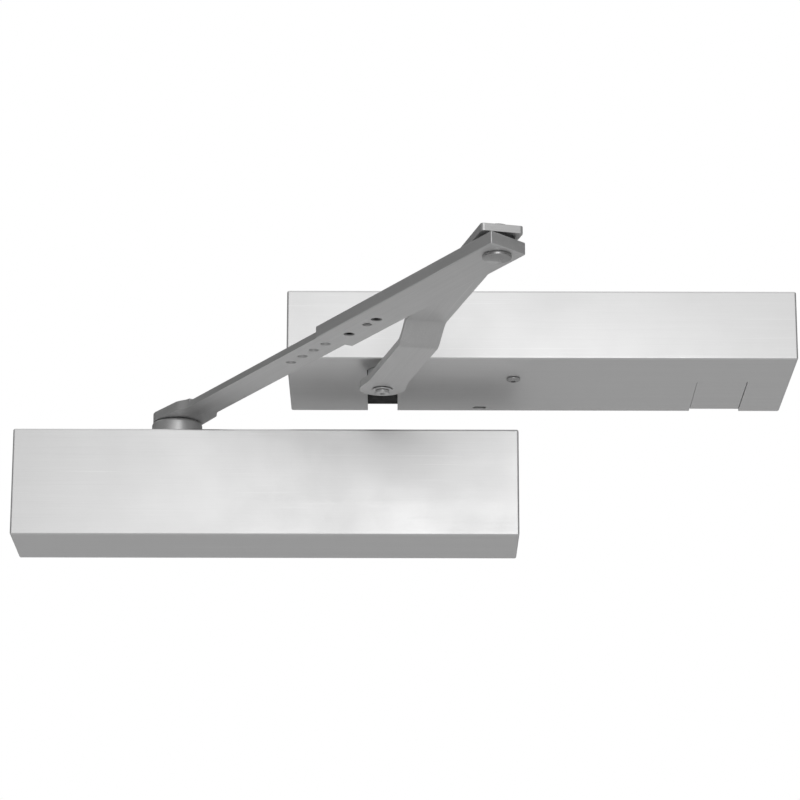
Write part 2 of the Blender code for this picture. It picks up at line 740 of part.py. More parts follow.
def frame_caps():
    centre = (UNIT_SPINDLE.y, BORE_Z)
    fit = UNIT_BORE - GAP
    rim = UNIT_BORE + CAP_RIM
    end_cap("frame_end_cap_left", fit, rim, BODY_B_LEFT, -1, centre, CAP_DEPTH, None)
    end_cap("frame_end_cap_right", fit, rim, BODY_B_RIGHT, 1, centre, CAP_DEPTH, None)


TUBE_OUTER = PORT_RADIUS - GAP
TUBE_BORE = 0.0036
COIL_RADIUS = 0.0125
COIL_LENGTH = 0.034
YOKE = 0.002
YOKE_WIDTH = 0.020
PLUNGER_TRAVEL = 0.003


def solenoid():
    """The valve that holds the oil back: tube, plunger, coil, yoke and nut."""
    face = BODY_B_RIGHT
    coil_start = face + GAP + YOKE + GAP
    coil_end = coil_start + COIL_LENGTH
    yoke_end = coil_end + GAP + YOKE
    nut_end = yoke_end + GAP + 0.0045
    tube_start = face - PORT_DEPTH + 2 * GAP
    outline = [
        (TUBE_BORE, tube_start),
        (TUBE_OUTER, tube_start),
        (TUBE_OUTER, nut_end + 0.004),
        (0, nut_end + 0.004),
        (0, nut_end),
        (TUBE_BORE, nut_end),
    ]
    shape = bmesh.new()
    add_turned(shape, outline, SOLENOID, "x", SMALL_SIDES, ring=True)
    make_object("solenoid_tube", shape, STEEL)

    plunger = bmesh.new()
    start = nut_end - PLUNGER_TRAVEL - 0.001 - 0.026
    outline = [
        (0, start - 0.006),
        (0.0008, start - 0.006),
        (TUBE_BORE - GAP, start),
        (TUBE_BORE - GAP, start + 0.026),
        (0, start + 0.026),
    ]
    add_turned(plunger, outline, SOLENOID, "x", SMALL_SIDES)
    make_object("solenoid_plunger", plunger, DARK_STEEL)

    coil = bmesh.new()
    flange = 0.0015
    waist = COIL_RADIUS - 0.0015
    outline = [
        (PORT_RADIUS, coil_start),
        (COIL_RADIUS, coil_start),
        (COIL_RADIUS, coil_start + flange),
        (waist, coil_start + flange),
        (waist, coil_end - flange),
        (COIL_RADIUS, coil_end - flange),
        (COIL_RADIUS, coil_end),
        (PORT_RADIUS, coil_end),
    ]
    add_turned(coil, outline, SOLENOID, "x", ROUND_SIDES, ring=True)
    make_object("solenoid_coil", coil, COPPER)

    top = SOLENOID[1] + COIL_RADIUS + GAP
    bottom = SOLENOID[1] - COIL_RADIUS
    profile = [
        (face + GAP, bottom),
        (face + GAP + YOKE, bottom),
        (face + GAP + YOKE, top),
        (coil_end + GAP, top),
        (coil_end + GAP, bottom),
        (yoke_end, bottom),
        (yoke_end, top + YOKE),
        (face + GAP, top + YOKE),
    ]
    yoke = bmesh.new()
    half = YOKE_WIDTH / 2
    add_prism(yoke, profile, SOLENOID[0] - half, SOLENOID[0] + half, "y")
    frame = make_object("solenoid_yoke", yoke, ZINC)
    hole = bmesh.new()
    add_rod(hole, PORT_RADIUS, face - PAST, yoke_end + PAST, SOLENOID, "x", SMALL_SIDES)
    cut(frame, hole)

    nut = bmesh.new()
    add_prism(nut, polygon(0.0085, 6, SOLENOID), yoke_end + GAP, nut_end, "x")
    ring = make_object("solenoid_nut", nut, STEEL)
    thread = bmesh.new()
    add_rod(thread, PORT_RADIUS, face, nut_end + PAST, SOLENOID, "x", SMALL_SIDES)
    cut(ring, thread)


def electronics():
    """The control board on two posts, with its terminal block and relay."""
    left = BODY_B_RIGHT + 0.053
    length = 0.044
    stand = 0.009
    board_back = -PLATE - 2 * GAP - stand
    board_front = board_back - 0.0016
    low = -0.013
    high = 0.016
    for number, x in enumerate((left + 0.008, left + length - 0.008), 1):
        shape = bmesh.new()
        add_rod(
            shape, 0.003, board_back + GAP, -PLATE - GAP, (x, 0.0085), "y", SMALL_SIDES)
        make_object("board_post_" + str(number), shape, BRASS)
    shape = bmesh.new()
    add_box(shape, (left, board_front, low), (left + length, board_back, high))
    make_object("circuit_board", shape, BOARD)

    block_left = left + 0.0215
    block_right = left + length - 0.001
    block_front = board_front - GAP - 0.011
    shape = bmesh.new()
    add_box(shape, (block_left, block_front, -0.011), (block_right, board_front - GAP, 0.001))
    block = make_object("terminal_block", shape, PLASTIC)
    ways = bmesh.new()
    count = 4
    step = (block_right - block_left) / count
    for i in range(count):
        x = block_left + (i + 0.5) * step
        add_rod(ways, 0.0016, block_front - PAST, block_front + 0.006, (x, -0.002), "y", 12)
        add_box(
            ways,
            (x - 0.0018, block_front - PAST, -0.0095),
            (x + 0.0018, block_front + 0.007, -0.0055))
    cut(block, ways)

    shape = bmesh.new()
    outline = rounded_outline(0.018, 0.015, 0.001, (left + 0.0105, 0.0), 2)
    add_prism(shape, outline, board_front - GAP - 0.012, board_front - GAP, "y")
    make_object("control_relay", shape, GREY_PLASTIC)


def frame_unit():
    frame_backplate()
    frame_body()
    frame_screws()
    frame_caps()
    frame_bearings()
    frame_piston()
    solenoid()
    electronics()
    frame_cover()
    frame_slot_plug()
    frame_cover_screw()


# ---------------------------------------------------------------- main arm
ARM_WASHER = 0.0008
ARM_WASHER_RADIUS = 0.0065
ARM_SCREW_HEAD = 0.0044
ARM_SCREW_HEAD_HEIGHT = 0.0018
ARM_SCREW_SOCKET = 0.0020
HUB_SCREW_SOCKET = 0.0026
SHAFT_THREAD = 0.0030
SHAFT_THREAD_DEPTH = 0.012
SHAFT_THREAD_END = 0.001         # the thread's hole past the screw's tip


def main_arm(pivot):
    """The cranked flat arm, drawn along +X from the frame spindle."""
    stations = []
    for i in range(1, 9):
        angle = pi / 2 * i / 8
        stations.append((-ARM_HUB * cos(angle), ARM_HUB * sin(angle), 0.0))
    stations.append((ARM_HUB * 0.5, ARM_HUB * 0.96, 0.0))
    stations.append((ARM_HUB * 1.3, ARM_WIDTH / 2, 0.0))
    bends = 6
    for i in range(bends + 1):
        part = i / bends
        lift = (1 - cos(pi * part)) / 2
        stations.append((JOGGLE_START + JOGGLE_LENGTH * part, ARM_WIDTH / 2, lift))
    end = MAIN_ARM_LENGTH + ARM_TIP
    stations.append((end - 0.002, ARM_WIDTH / 2, 1.0))
    stations.append((end, ARM_WIDTH / 2 - 0.002, 1.0))
    shape = bmesh.new()
    rows = []
    for x, half, lift in stations:
        low = ARM_LOW + lift * (ARM_HIGH - ARM_LOW)
        high = low + ARM_THICK
        corners = ((-half, low), (half, low), (half, high), (-half, high))
        rows.append([shape.verts.new((x, y, z)) for y, z in corners])
    for first, second in zip(rows, rows[1:]):
        for k in range(4):
            m = (k + 1) % 4
            shape.faces.new((first[k], first[m], second[m], second[k]))
    shape.faces.new(rows[0])
    shape.faces.new(list(reversed(rows[-1])))
    arm = make_object("main_arm", shape, ARM_STEEL, pivot)
    holes = bmesh.new()
    low = ARM_LOW - PAST
    high = ARM_HIGH + ARM_THICK + PAST
    add_prism(holes, polygon(UNIT_SHAFT + GAP * 1.2, 6), low, ARM_LOW + ARM_THICK + PAST)
    add_rod(holes, ELBOW_PIN + GAP, low, high, (MAIN_ARM_LENGTH, 0))
    cut(arm, holes)


def frame_spindle(pivot):
    """The pinion shaft of the frame unit. Its hexagonal end carries the main arm."""
    tooth_half = UNIT_BORE - 0.0012
    shape = bmesh.new()
    down = -pi / 2 - MAIN_ARM_TURN
    add_prism(shape, pinion_outline(UNIT_MODULE, down), BORE_Z - tooth_half, BORE_Z + tooth_half)
    shaft = make_object("frame_spindle", shape, STEEL, pivot)
    ends = bmesh.new()
    arm_top = ARM_LOW + ARM_THICK
    add_rod(ends, UNIT_SHAFT, arm_top + GAP, BORE_Z - tooth_half + OVERLAP)
    add_rod(ends, UNIT_SHAFT, BORE_Z + tooth_half - OVERLAP, BODY_B_TOP - 2 * GAP)
    join(shaft, ends)
    drive = bmesh.new()
    add_prism(drive, polygon(UNIT_SHAFT - OVERLAP, 6), ARM_LOW + GAP, arm_top + GAP + OVERLAP)
    join(shaft, drive)
    thread = bmesh.new()
    depth = SHAFT_THREAD_DEPTH + SHAFT_THREAD_END
    add_rod(thread, SHAFT_THREAD + GAP, ARM_LOW - PAST, ARM_LOW + depth, sides=SMALL_SIDES)
    cut(shaft, thread)


def main_arm_group():
    pivot = make_pivot("frame_spindle_axis", (UNIT_SPINDLE.x, UNIT_SPINDLE.y, 0), MAIN_ARM_TURN)
    main_arm(pivot)
    frame_spindle(pivot)
    washer_top = ARM_LOW - GAP
    shape = bmesh.new()
    add_tube(shape, SHAFT_THREAD + GAP, ARM_WASHER_RADIUS, washer_top - ARM_WASHER, washer_top)
    make_object("main_arm_washer", shape, ZINC, pivot)
    head = washer_top - ARM_WASHER - GAP
    socket_screw(
        "main_arm_screw", ARM_SCREW_HEAD, ARM_SCREW_HEAD_HEIGHT, SHAFT_THREAD, head,
        ARM_LOW + SHAFT_THREAD_DEPTH, (0, 0), "z", pivot, ARM_SCREW_SOCKET)


# ---------------------------------------------------------------- forearm
def bar_hole_place(number):
    """Distance of a bar hole from the elbow."""
    return FOREARM_LENGTH - BAR_HOLE_FIRST - BAR_HOLE_PITCH * (number - 1)


def forearm_sleeve(pivot):
    """The outer half of the forearm. Both of its ends are cut at a slant."""
    half = SLEEVE_WIDTH / 2
    near = -SLEEVE_TIP
    far = SLEEVE_LENGTH - SLEEVE_TIP
    outline = [
        (near + SLEEVE_SKEW * half, -half),
        (far + SLEEVE_FAR_SKEW * half, -half),
        (far - SLEEVE_FAR_SKEW * half, half),
        (near - SLEEVE_SKEW * half, half),
    ]
    shape = bmesh.new()
    add_prism(shape, outline, SLEEVE_BOTTOM, SLEEVE_TOP)
    long_edges = [e for e in shape.edges if abs(e.verts[0].co.x - e.verts[1].co.x) > half]
    bmesh.ops.bevel(
        shape, geom=long_edges, offset=0.0009, segments=2, profile=0.5, affect="EDGES")
    sleeve = make_object("forearm_sleeve", shape, ARM_STEEL, pivot)
    pocket = bmesh.new()
    add_box(
        pocket,
        (SLEEVE_POCKET, -BAR_WIDTH / 2 - GAP, BAR_BOTTOM - GAP),
        (far + half, BAR_WIDTH / 2 + GAP, BAR_TOP + GAP))
    cut(sleeve, pocket)
    holes = bmesh.new()
    add_rod(holes, ELBOW_PIN + GAP, SLEEVE_BOTTOM - PAST, SLEEVE_TOP + PAST)
    for number in SLEEVE_SCREW_HOLES:
        add_rod(
            holes, BAR_HOLE + GAP, SLEEVE_BOTTOM - PAST, SLEEVE_TOP + PAST,
            (bar_hole_place(number), 0), "z", SMALL_SIDES)
    add_rod(
        holes, BAR_HOLE, SLEEVE_BOTTOM - PAST, BAR_BOTTOM - GAP + OVERLAP,
        (bar_hole_place(SLEEVE_OPEN_HOLE), 0), "z", SMALL_SIDES)
    cut(sleeve, holes)


def forearm_bar(pivot):
    """The inner half of the forearm, with its row of holes and its hub."""
    half = BAR_WIDTH / 2
    neck = FOREARM_LENGTH - HUB_NECK
    shape = bmesh.new()
    add_box(shape, (BAR_INSIDE, -half, BAR_BOTTOM), (neck + OVERLAP, half, BAR_TOP))
    bar = make_object("forearm_bar", shape, ARM_STEEL, pivot)
    hub = bmesh.new()
    shoulder = FOREARM_LENGTH - HUB_SHOULDER
    outline = [(neck, half), (neck, -half), (shoulder, -HUB_SHOULDER_WIDTH / 2)]
    for i in range(13):
        angle = -pi / 2 + pi * i / 12
        outline.append((FOREARM_LENGTH + HUB_RADIUS * cos(angle), HUB_RADIUS * sin(angle)))
    outline.append((shoulder, HUB_SHOULDER_WIDTH / 2))
    add_prism(hub, outline, HUB_BOTTOM, HUB_TOP)
    rims = [e for e in hub.edges if abs(e.verts[0].co.z - e.verts[1].co.z) < GAP and
            max(v.co.x for v in e.verts) > neck + GAP]
    bmesh.ops.bevel(hub, geom=rims, offset=0.0012, segments=2, profile=0.5, affect="EDGES")
    join(bar, hub)
    holes = bmesh.new()
    square = SHAFT_SQUARE / 2 + GAP
    add_box(
        holes,
        (FOREARM_LENGTH - square, -square, HUB_BOTTOM - PAST),
        (FOREARM_LENGTH + square, square, HUB_TOP + PAST))
    places = [(number, BAR_HOLE) for number in range(1, BAR_HOLES + 1)]
    places += [(number, BAR_HOLE + GAP) for number in SLEEVE_SCREW_HOLES]
    for number, radius in places:
        add_rod(
            holes, radius, BAR_BOTTOM - PAST, BAR_TOP + PAST,
            (bar_hole_place(number), 0), "z", SMALL_SIDES)
    cut(bar, holes)


def forearm_screws(pivot):
    """Two socket set screws lock the bar in the sleeve."""
    for count, number in enumerate(SLEEVE_SCREW_HOLES, 1):
        centre = (bar_hole_place(number), 0)
        low = SLEEVE_BOTTOM + 2 * GAP
        shape = bmesh.new()
        edge = 0.0004
        outline = [
            (0, low),
            (BAR_HOLE - edge, low),
            (BAR_HOLE, low + edge),
            (BAR_HOLE, SLEEVE_TOP - GAP),
            (0, SLEEVE_TOP - GAP),
        ]
        add_turned(shape, outline, centre, "z", SMALL_SIDES)
        screw = make_object("forearm_set_screw_" + str(count), shape, DARK_STEEL, pivot)
        socket = bmesh.new()
        add_prism(
            socket, polygon(SET_SCREW_SOCKET, 6, centre), low - PAST, low + SET_SCREW_SOCKET_DEPTH)
        cut(screw, socket)


def elbow_pieces(pivot):
    """The pivot pin, its washer and the ring that keeps it in."""
    head = SLEEVE_BOTTOM - GAP
    top = ARM_HIGH + ARM_THICK + 0.0024
    outline = [(0, head - ELBOW_HEAD_HEIGHT)]
    for i in range(5):
        angle = pi / 2 * i / 4
        out = ELBOW_HEAD - 0.0012 + 0.0012 * sin(angle)
        outline.append((out, head - ELBOW_HEAD_HEIGHT + 0.0012 - 0.0012 * cos(angle)))
    outline += [(ELBOW_HEAD, head), (ELBOW_PIN, head), (ELBOW_PIN, top), (0, top)]
    shape = bmesh.new()
    add_turned(shape, outline)
    make_object("elbow_pin", shape, STEEL, pivot)
    shape = bmesh.new()
    low = SLEEVE_TOP + GAP
    add_tube(shape, ELBOW_PIN + GAP, 0.0105, low, low + ELBOW_WASHER)
    make_object("elbow_washer", shape, DARK_STEEL, pivot)
    shape = bmesh.new()
    low = ARM_HIGH + ARM_THICK + GAP
    add_tube(shape, ELBOW_PIN + GAP, 0.0082, low, low + 0.0013)
    make_object("elbow_retaining_ring", shape, SPRING_STEEL, pivot)


def closer_spindle(pivot):
    """The closer's pinion shaft. It turns with the forearm's hub on its square end."""
    centre = (FOREARM_LENGTH, 0)
    tooth_half = BORE - 0.0014
    down = -pi / 2 - FOREARM_TURN
    outline = [(FOREARM_LENGTH + x, y) for x, y in pinion_outline(CASE_MODULE, down)]
    shape = bmesh.new()
    add_prism(shape, outline, CASE_MIDDLE - tooth_half, CASE_MIDDLE + tooth_half)
    shaft = make_object("closer_spindle", shape, STEEL, pivot)
    ends = bmesh.new()
    low = CASE_MIDDLE - BODY_HEIGHT / 2 + CAP_SEAT + GAP
    add_rod(ends, SHAFT, low, CASE_MIDDLE - tooth_half + OVERLAP, centre)
    add_rod(ends, SHAFT, CASE_MIDDLE + tooth_half - OVERLAP, HUB_BOTTOM - GAP, centre)
    join(shaft, ends)
    drive = bmesh.new()
    square = SHAFT_SQUARE / 2
    add_box(
        drive,
        (FOREARM_LENGTH - square, -square, HUB_BOTTOM - GAP - OVERLAP),
        (FOREARM_LENGTH + square, square, HUB_TOP - GAP))
    join(shaft, drive)
    thread = bmesh.new()
    add_rod(
        thread, SHAFT_THREAD + GAP, HUB_TOP - SHAFT_THREAD_DEPTH - SHAFT_THREAD_END,
        HUB_TOP + PAST, centre, "z", SMALL_SIDES)
    cut(shaft, thread)


def forearm_group():
    pivot = make_pivot("elbow_axis", (ELBOW.x, ELBOW.y, 0), FOREARM_TURN)
    forearm_sleeve(pivot)
    forearm_bar(pivot)
    forearm_screws(pivot)
    elbow_pieces(pivot)
    closer_spindle(pivot)
    socket_screw(
        "forearm_hub_screw", HUB_SCREW_HEAD, HUB_SCREW_HEIGHT, SHAFT_THREAD, HUB_TOP + GAP,
        HUB_TOP - SHAFT_THREAD_DEPTH, (FOREARM_LENGTH, 0), "z", pivot, HUB_SCREW_SOCKET)


# ---------------------------------------------------------------- door closer
# Its pieces are drawn from the spindle's axis, at the middle of the case's height.
CASE_LEFT = -CASE_SPINDLE_FROM_END
CASE_RIGHT = CASE_LENGTH - CASE_SPINDLE_FROM_END
HALF_CASE = CASE_HEIGHT / 2
HALF_DEPTH = CASE_DEPTH / 2
BODY_LEFT = CASE_LEFT + BODY_CLEAR_LEFT
BODY_RIGHT = CASE_RIGHT - BODY_CLEAR_RIGHT
HALF_BODY = BODY_HEIGHT / 2
BOSS_RADIUS = BEARING + BOSS_WALL
BOSS_TOP = HALF_CASE - WALL - 0.001
CAP_PLUG = 0.007
BODY_SCREW = 0.0026
BODY_SCREW_HEAD = 0.0045
BODY_SCREW_SEAT = 0.005        # the head's recess in the body's front face
BODY_SCREW_INSET = 0.010
BODY_SCREW_HEIGHT = BORE + 0.0045
VALVE = 0.0030
VALVE_DEPTH = 0.014
VALVES = (("sweep_valve", -0.062), ("latch_valve", -0.044), ("backcheck_valve", 0.052))
ADJUSTER = 0.0040
SEAT_THICK = 0.006
SPRING_RADIUS = 0.0125
SPRING_WIRE = 0.0020
SPRING_TURNS = 10
SEAT_BACK = 0.018              # from the body's right end to the spring seat
CASE_PISTON_ENDS = 0.014
ADJUSTER_END = 0.010           # the adjuster past the body's right end


def body_screw_places():
    for x in (BODY_LEFT + BODY_SCREW_INSET, BODY_RIGHT - BODY_SCREW_INSET):
        for z in (-BODY_SCREW_HEIGHT, BODY_SCREW_HEIGHT):
            yield x, z


def closer_cover(pivot):
    cover = make_cover(
        "closer_cover", CASE_LEFT, CASE_RIGHT, -HALF_DEPTH, HALF_DEPTH - BACK_INSET,
        -HALF_CASE, HALF_CASE, pivot)
    slot = bmesh.new()
    outline = slot_outline(0, CASE_SLOT_WIDTH / 2, 0, HALF_DEPTH)
    add_prism(slot, outline, HALF_CASE - WALL - PAST, HALF_CASE + PAST)
    cut(cover, slot)


def closer_backplate(pivot):
    shape = bmesh.new()
    left = CASE_LEFT + WALL + COVER_FIT
    right = CASE_RIGHT - WALL - COVER_FIT
    half = HALF_CASE - WALL - COVER_FIT
    add_box(shape, (left, HALF_DEPTH - PLATE, -half), (right, HALF_DEPTH, half))
    plate = make_object("closer_backplate", shape, ZINC, pivot)
    holes = bmesh.new()
    low = HALF_DEPTH - PLATE - PAST
    high = HALF_DEPTH + PAST
    for x in (BODY_LEFT + 0.036, BODY_RIGHT - 0.036):
        for z in (-0.012, 0.012):
            add_rod(holes, 0.0033, low, high, (x, z), "y", SMALL_SIDES)
    for x, z in body_screw_places():
        add_rod(holes, BODY_SCREW + GAP, low, high, (x, z), "y", SMALL_SIDES)
    cut(plate, holes)


def closer_body(pivot):
    """The hydraulic casting: cylinder, spindle bearings, valve and screw holes."""
    back = HALF_DEPTH - PLATE - GAP
    front = -BODY_FRONT
    chamfer = BODY_CHAMFER
    outline = [
        (front + chamfer, -HALF_BODY),
        (back, -HALF_BODY),
        (back, HALF_BODY),
        (front + chamfer, HALF_BODY),
        (front, HALF_BODY - chamfer),
        (front, -HALF_BODY + chamfer),
    ]
    shape = bmesh.new()
    add_prism(shape, outline, BODY_LEFT, BODY_RIGHT, "x")
    body = make_object("closer_body", shape, CASTING, pivot)
    boss = bmesh.new()
    add_rod(boss, BOSS_RADIUS, HALF_BODY - 0.001, BOSS_TOP)
    join(body, boss)
    bore = bmesh.new()
    add_rod(bore, BORE, BODY_LEFT - PAST, BODY_RIGHT + PAST, (0, 0), "x")
    cut(body, bore)
    shaft = bmesh.new()
    add_rod(shaft, BEARING + GAP, -HALF_BODY - PAST, BOSS_TOP + PAST)
    cut(body, shaft)
    holes = bmesh.new()
    for x, z in body_screw_places():
        add_rod(holes, BODY_SCREW + GAP, front - PAST, back + PAST, (x, z), "y", SMALL_SIDES)
    cut(body, holes)
    recesses = bmesh.new()
    seat = front + BODY_SCREW_SEAT
    for x, z in body_screw_places():
        add_rod(recesses, BODY_SCREW_HEAD + GAP, front - PAST, seat, (x, z), "y", SMALL_SIDES)
    deep = front + VALVE_DEPTH
    for name, x in VALVES:
        centre = (x, BODY_SCREW_HEIGHT)
        add_rod(recesses, VALVE + GAP, front - PAST, deep, centre, "y", SMALL_SIDES)
    cut(body, recesses)


def closer_valves(pivot):
    """The three regulating screws that a screwdriver sets."""
    front = -BODY_FRONT
    for name, x in VALVES:
        centre = (x, BODY_SCREW_HEIGHT)
        outline = [
            (0, front + GAP),
            (VALVE - GAP, front + GAP),
            (VALVE, front + 2 * GAP),
            (VALVE, front + VALVE_DEPTH - 0.005),
            (0.0010, front + VALVE_DEPTH - GAP),
            (0, front + VALVE_DEPTH - GAP),
        ]
        shape = bmesh.new()
        add_turned(shape, outline, centre, "y", SMALL_SIDES)
        screw = make_object(name, shape, BRASS, pivot)
        slot = bmesh.new()
        add_box(
            slot,
            (x - 2 * VALVE, front - PAST, BODY_SCREW_HEIGHT - 0.0005),
            (x + 2 * VALVE, front + 0.0018, BODY_SCREW_HEIGHT + 0.0005))
        cut(screw, slot)


def closer_bearings(pivot):
    inner = SHAFT + GAP
    seat = BORE + GAP
    bearing("closer_upper_bearing", inner, BEARING, seat, HALF_BODY - 0.001, (0, 0), pivot)
    bearing(
        "closer_lower_bearing", inner, BEARING, -HALF_BODY + CAP_SEAT + GAP, -seat, (0, 0), pivot)
    shape = bmesh.new()
    low = HALF_BODY - 0.001 + GAP
    outline = [
        (inner, low),
        (BEARING, low),
        (BEARING, BOSS_TOP - GAP),
        (BEARING - 0.001, BOSS_TOP - GAP),
        (inner + 0.0012, BOSS_TOP - 0.0015),
        (inner, BOSS_TOP - GAP),
    ]
    add_turned(shape, outline, ring=True)
    make_object("closer_spindle_seal", shape, RUBBER, pivot)
    cap = bmesh.new()
    seat = -HALF_BODY - GAP
    outline = [
        (0, seat - 0.002),
        (BOSS_RADIUS - 0.0006, seat - 0.002),
        (BOSS_RADIUS, seat - 0.0014),
        (BOSS_RADIUS, seat),
        (BEARING, seat),
        (BEARING, -HALF_BODY + CAP_SEAT - GAP),
        (0, -HALF_BODY + CAP_SEAT - GAP),
    ]
    add_turned(cap, outline)
    plug = make_object("closer_bottom_cap", cap, STEEL, pivot)
    recess = bmesh.new()
    add_prism(recess, polygon(0.005, 6), seat - 0.002 - PAST, seat + 0.001)
    cut(plug, recess)


def closer_collar(pivot):
    """The ring that closes the slot in the cover round the spindle."""
    low = BOSS_TOP + GAP
    top = HALF_CASE + COLLAR_HEIGHT
    spigot = CASE_SLOT_WIDTH / 2 - 2 * GAP
    flange_low = HALF_CASE + GAP
    flange_top = flange_low + 0.0024
    inner = SHAFT + GAP
    outline = [
        (inner, low),
        (spigot, low),
        (spigot, flange_low),
        (COLLAR_FLANGE, flange_low),
        (COLLAR_FLANGE, flange_top - 0.0008),
        (COLLAR_FLANGE - 0.0008, flange_top),
        (COLLAR_RADIUS, flange_top),
        (COLLAR_RADIUS, top - COLLAR_CROWN),
        (COLLAR_RADIUS - COLLAR_CROWN, top),
        (inner, top),
    ]
    shape = bmesh.new()
    add_turned(shape, outline, ring=True)
    make_object("closer_collar", shape, ARM_STEEL, pivot)


def closer_piston_and_spring(pivot):
    outline, first, last = rack_window(CASE_MODULE, mirrored(CASE_SWING), 0.001)
    shape = bmesh.new()
    end = last + CASE_PISTON_ENDS
    add_piston(shape, BORE - GAP, first - CASE_PISTON_ENDS, end, (0, 0))
    piston = make_object("closer_piston", shape, STEEL, pivot)
    window = bmesh.new()
    add_prism(window, outline, -BORE - PAST, BORE + PAST)
    cut(piston, window)

    seat = BODY_RIGHT - SEAT_BACK - SEAT_THICK
    shape = bmesh.new()
    add_coil(shape, SPRING_RADIUS, SPRING_WIRE, end + GAP, seat - GAP, SPRING_TURNS)
    make_object("closer_spring", shape, SPRING_STEEL, pivot)

    shape = bmesh.new()
    outline = [
        (ADJUSTER + GAP, seat - 0.004),
        (SPRING_RADIUS - SPRING_WIRE - 2 * GAP, seat - 0.004),
        (SPRING_RADIUS - SPRING_WIRE - 2 * GAP, seat),
        (BORE - 2 * GAP, seat),
        (BORE - 2 * GAP, seat + SEAT_THICK),
        (ADJUSTER + GAP, seat + SEAT_THICK),
    ]
    add_turned(shape, outline, (0, 0), "x", ROUND_SIDES, ring=True)
    make_object("closer_spring_seat", shape, STEEL, pivot)

    shape = bmesh.new()
    start = seat - 0.016
    keeper = BODY_RIGHT - CAP_PLUG - GAP
    finish = BODY_RIGHT + ADJUSTER_END
    outline = [
        (0, start),
        (ADJUSTER - GAP, start),
        (ADJUSTER, start + GAP),
        (ADJUSTER, keeper - 0.003),
        (0.007, keeper - 0.003),
        (0.007, keeper),
        (ADJUSTER, keeper),
        (ADJUSTER, finish),
        (0, finish),
    ]
    add_turned(shape, outline, (0, 0), "x", SMALL_SIDES)
    adjuster = make_object("closer_spring_adjuster", shape, DARK_STEEL, pivot)
    socket = bmesh.new()
    add_prism(socket, polygon(0.0025, 6), finish - 0.005, finish + PAST, "x")
    cut(adjuster, socket)


def mirrored(swing):
    """The same swing seen from the other member of the joint."""
    return tuple(sorted(-angle for angle in swing))


def closer_caps(pivot):
    fit = BORE - GAP
    rim = BORE + CAP_RIM
    end_cap("closer_end_cap_left", fit, rim, BODY_LEFT, -1, (0, 0), CAP_PLUG, pivot)
    end_cap(
        "closer_end_cap_right", fit, rim, BODY_RIGHT, 1, (0, 0), CAP_PLUG, pivot,
        ADJUSTER + GAP)


def closer_screws(pivot):
    """Four screws hold the body on the mounting plate."""
    seat = -BODY_FRONT + BODY_SCREW_SEAT - GAP
    for number, centre in enumerate(body_screw_places(), 1):
        socket_screw(
            "closer_body_screw_" + str(number), BODY_SCREW_HEAD, 0.004, BODY_SCREW,
            seat, HALF_DEPTH - 0.001, centre, "y", pivot, 0.0020)


def closer_group():
    pivot = make_pivot("closer_axis", (CASE_SPINDLE.x, CASE_SPINDLE.y, CASE_MIDDLE))
    closer_backplate(pivot)
    closer_body(pivot)
    closer_caps(pivot)
    closer_bearings(pivot)
    closer_collar(pivot)
    closer_piston_and_spring(pivot)
    closer_valves(pivot)
    closer_screws(pivot)
    closer_cover(pivot)


empty_scene()
frame_unit()
main_arm_group()
forearm_group()
closer_group()
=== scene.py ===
"""Looks of the door closer with its hold-open frame unit and folding arm.

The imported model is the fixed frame. What shows is rebuilt here as fine meshes with rounded
edges, real sheet, chamfered holes and turned faces. What lies inside keeps its CAD shape
and gets a surface of its own. Everything is in metres, +Z up, with -Y towards the room.
"""

from math import atan2, cos, pi, radians, sin, tan

import bmesh
import bpy
from mathutils import Matrix, Vector


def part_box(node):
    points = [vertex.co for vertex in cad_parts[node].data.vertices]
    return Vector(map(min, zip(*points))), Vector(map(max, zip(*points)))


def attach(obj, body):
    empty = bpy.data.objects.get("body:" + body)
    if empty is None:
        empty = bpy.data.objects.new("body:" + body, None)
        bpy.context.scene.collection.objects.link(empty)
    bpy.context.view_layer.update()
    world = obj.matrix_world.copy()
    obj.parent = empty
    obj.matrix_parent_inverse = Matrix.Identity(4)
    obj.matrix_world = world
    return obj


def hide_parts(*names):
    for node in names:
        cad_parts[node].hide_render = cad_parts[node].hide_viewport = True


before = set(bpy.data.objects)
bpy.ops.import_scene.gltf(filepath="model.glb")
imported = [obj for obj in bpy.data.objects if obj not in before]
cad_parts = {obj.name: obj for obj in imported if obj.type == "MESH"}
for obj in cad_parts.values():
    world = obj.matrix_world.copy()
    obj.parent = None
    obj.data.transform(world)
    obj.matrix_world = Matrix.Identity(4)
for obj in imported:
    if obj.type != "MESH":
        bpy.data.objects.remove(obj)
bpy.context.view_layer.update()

# ---------------------------------------------------------------- sizes
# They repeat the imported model's own sizes, for what a node's box doesn't tell.
GAP = 0.0003                   # clearance between pieces that touch
PAST = 0.002                   # how far a cutter runs past the face that it cuts
SHEET = 0.0016                 # the covers' sheet
COVER_EDGE = 0.0013            # outer edge radius of the covers
CUT_EDGE = 0.00025             # broken edges of the openings in the covers
SLOT_WIDTH = 0.0196            # spindle slot in the frame unit's cover
CASE_SLOT_WIDTH = 0.028        # spindle slot in the closer's cover
PLUG_WIDTH = 0.0328            # second slot of the frame unit's cover
PLUG_FROM_END = 0.0271         # from the frame unit's right end to the second slot
PLUG_LENGTH = 0.0652           # from the wall to the second slot's end
RELEASE_SLOT = (0.0090, 0.0048)
RELEASE_PLACE = (-0.0372, -0.0068)
COVER_SCREW_HOLE = 0.0025
COVER_SCREW_SHANK = 0.0020
COVER_SCREW_RIM = 0.0005       # straight side of the screw's domed head
COVER_SCREW_SOCKET = 0.0017
COVER_SCREW_TURN = 0.3         # how the socket stands, in radians
COVER_SCREW_WEB = 0.0007       # metal between the socket and the cover
ARM_WIDTH = 0.0248
ARM_THICK = 0.0045
ARM_HUB = 0.0145               # radius of the main arm's end on its spindle
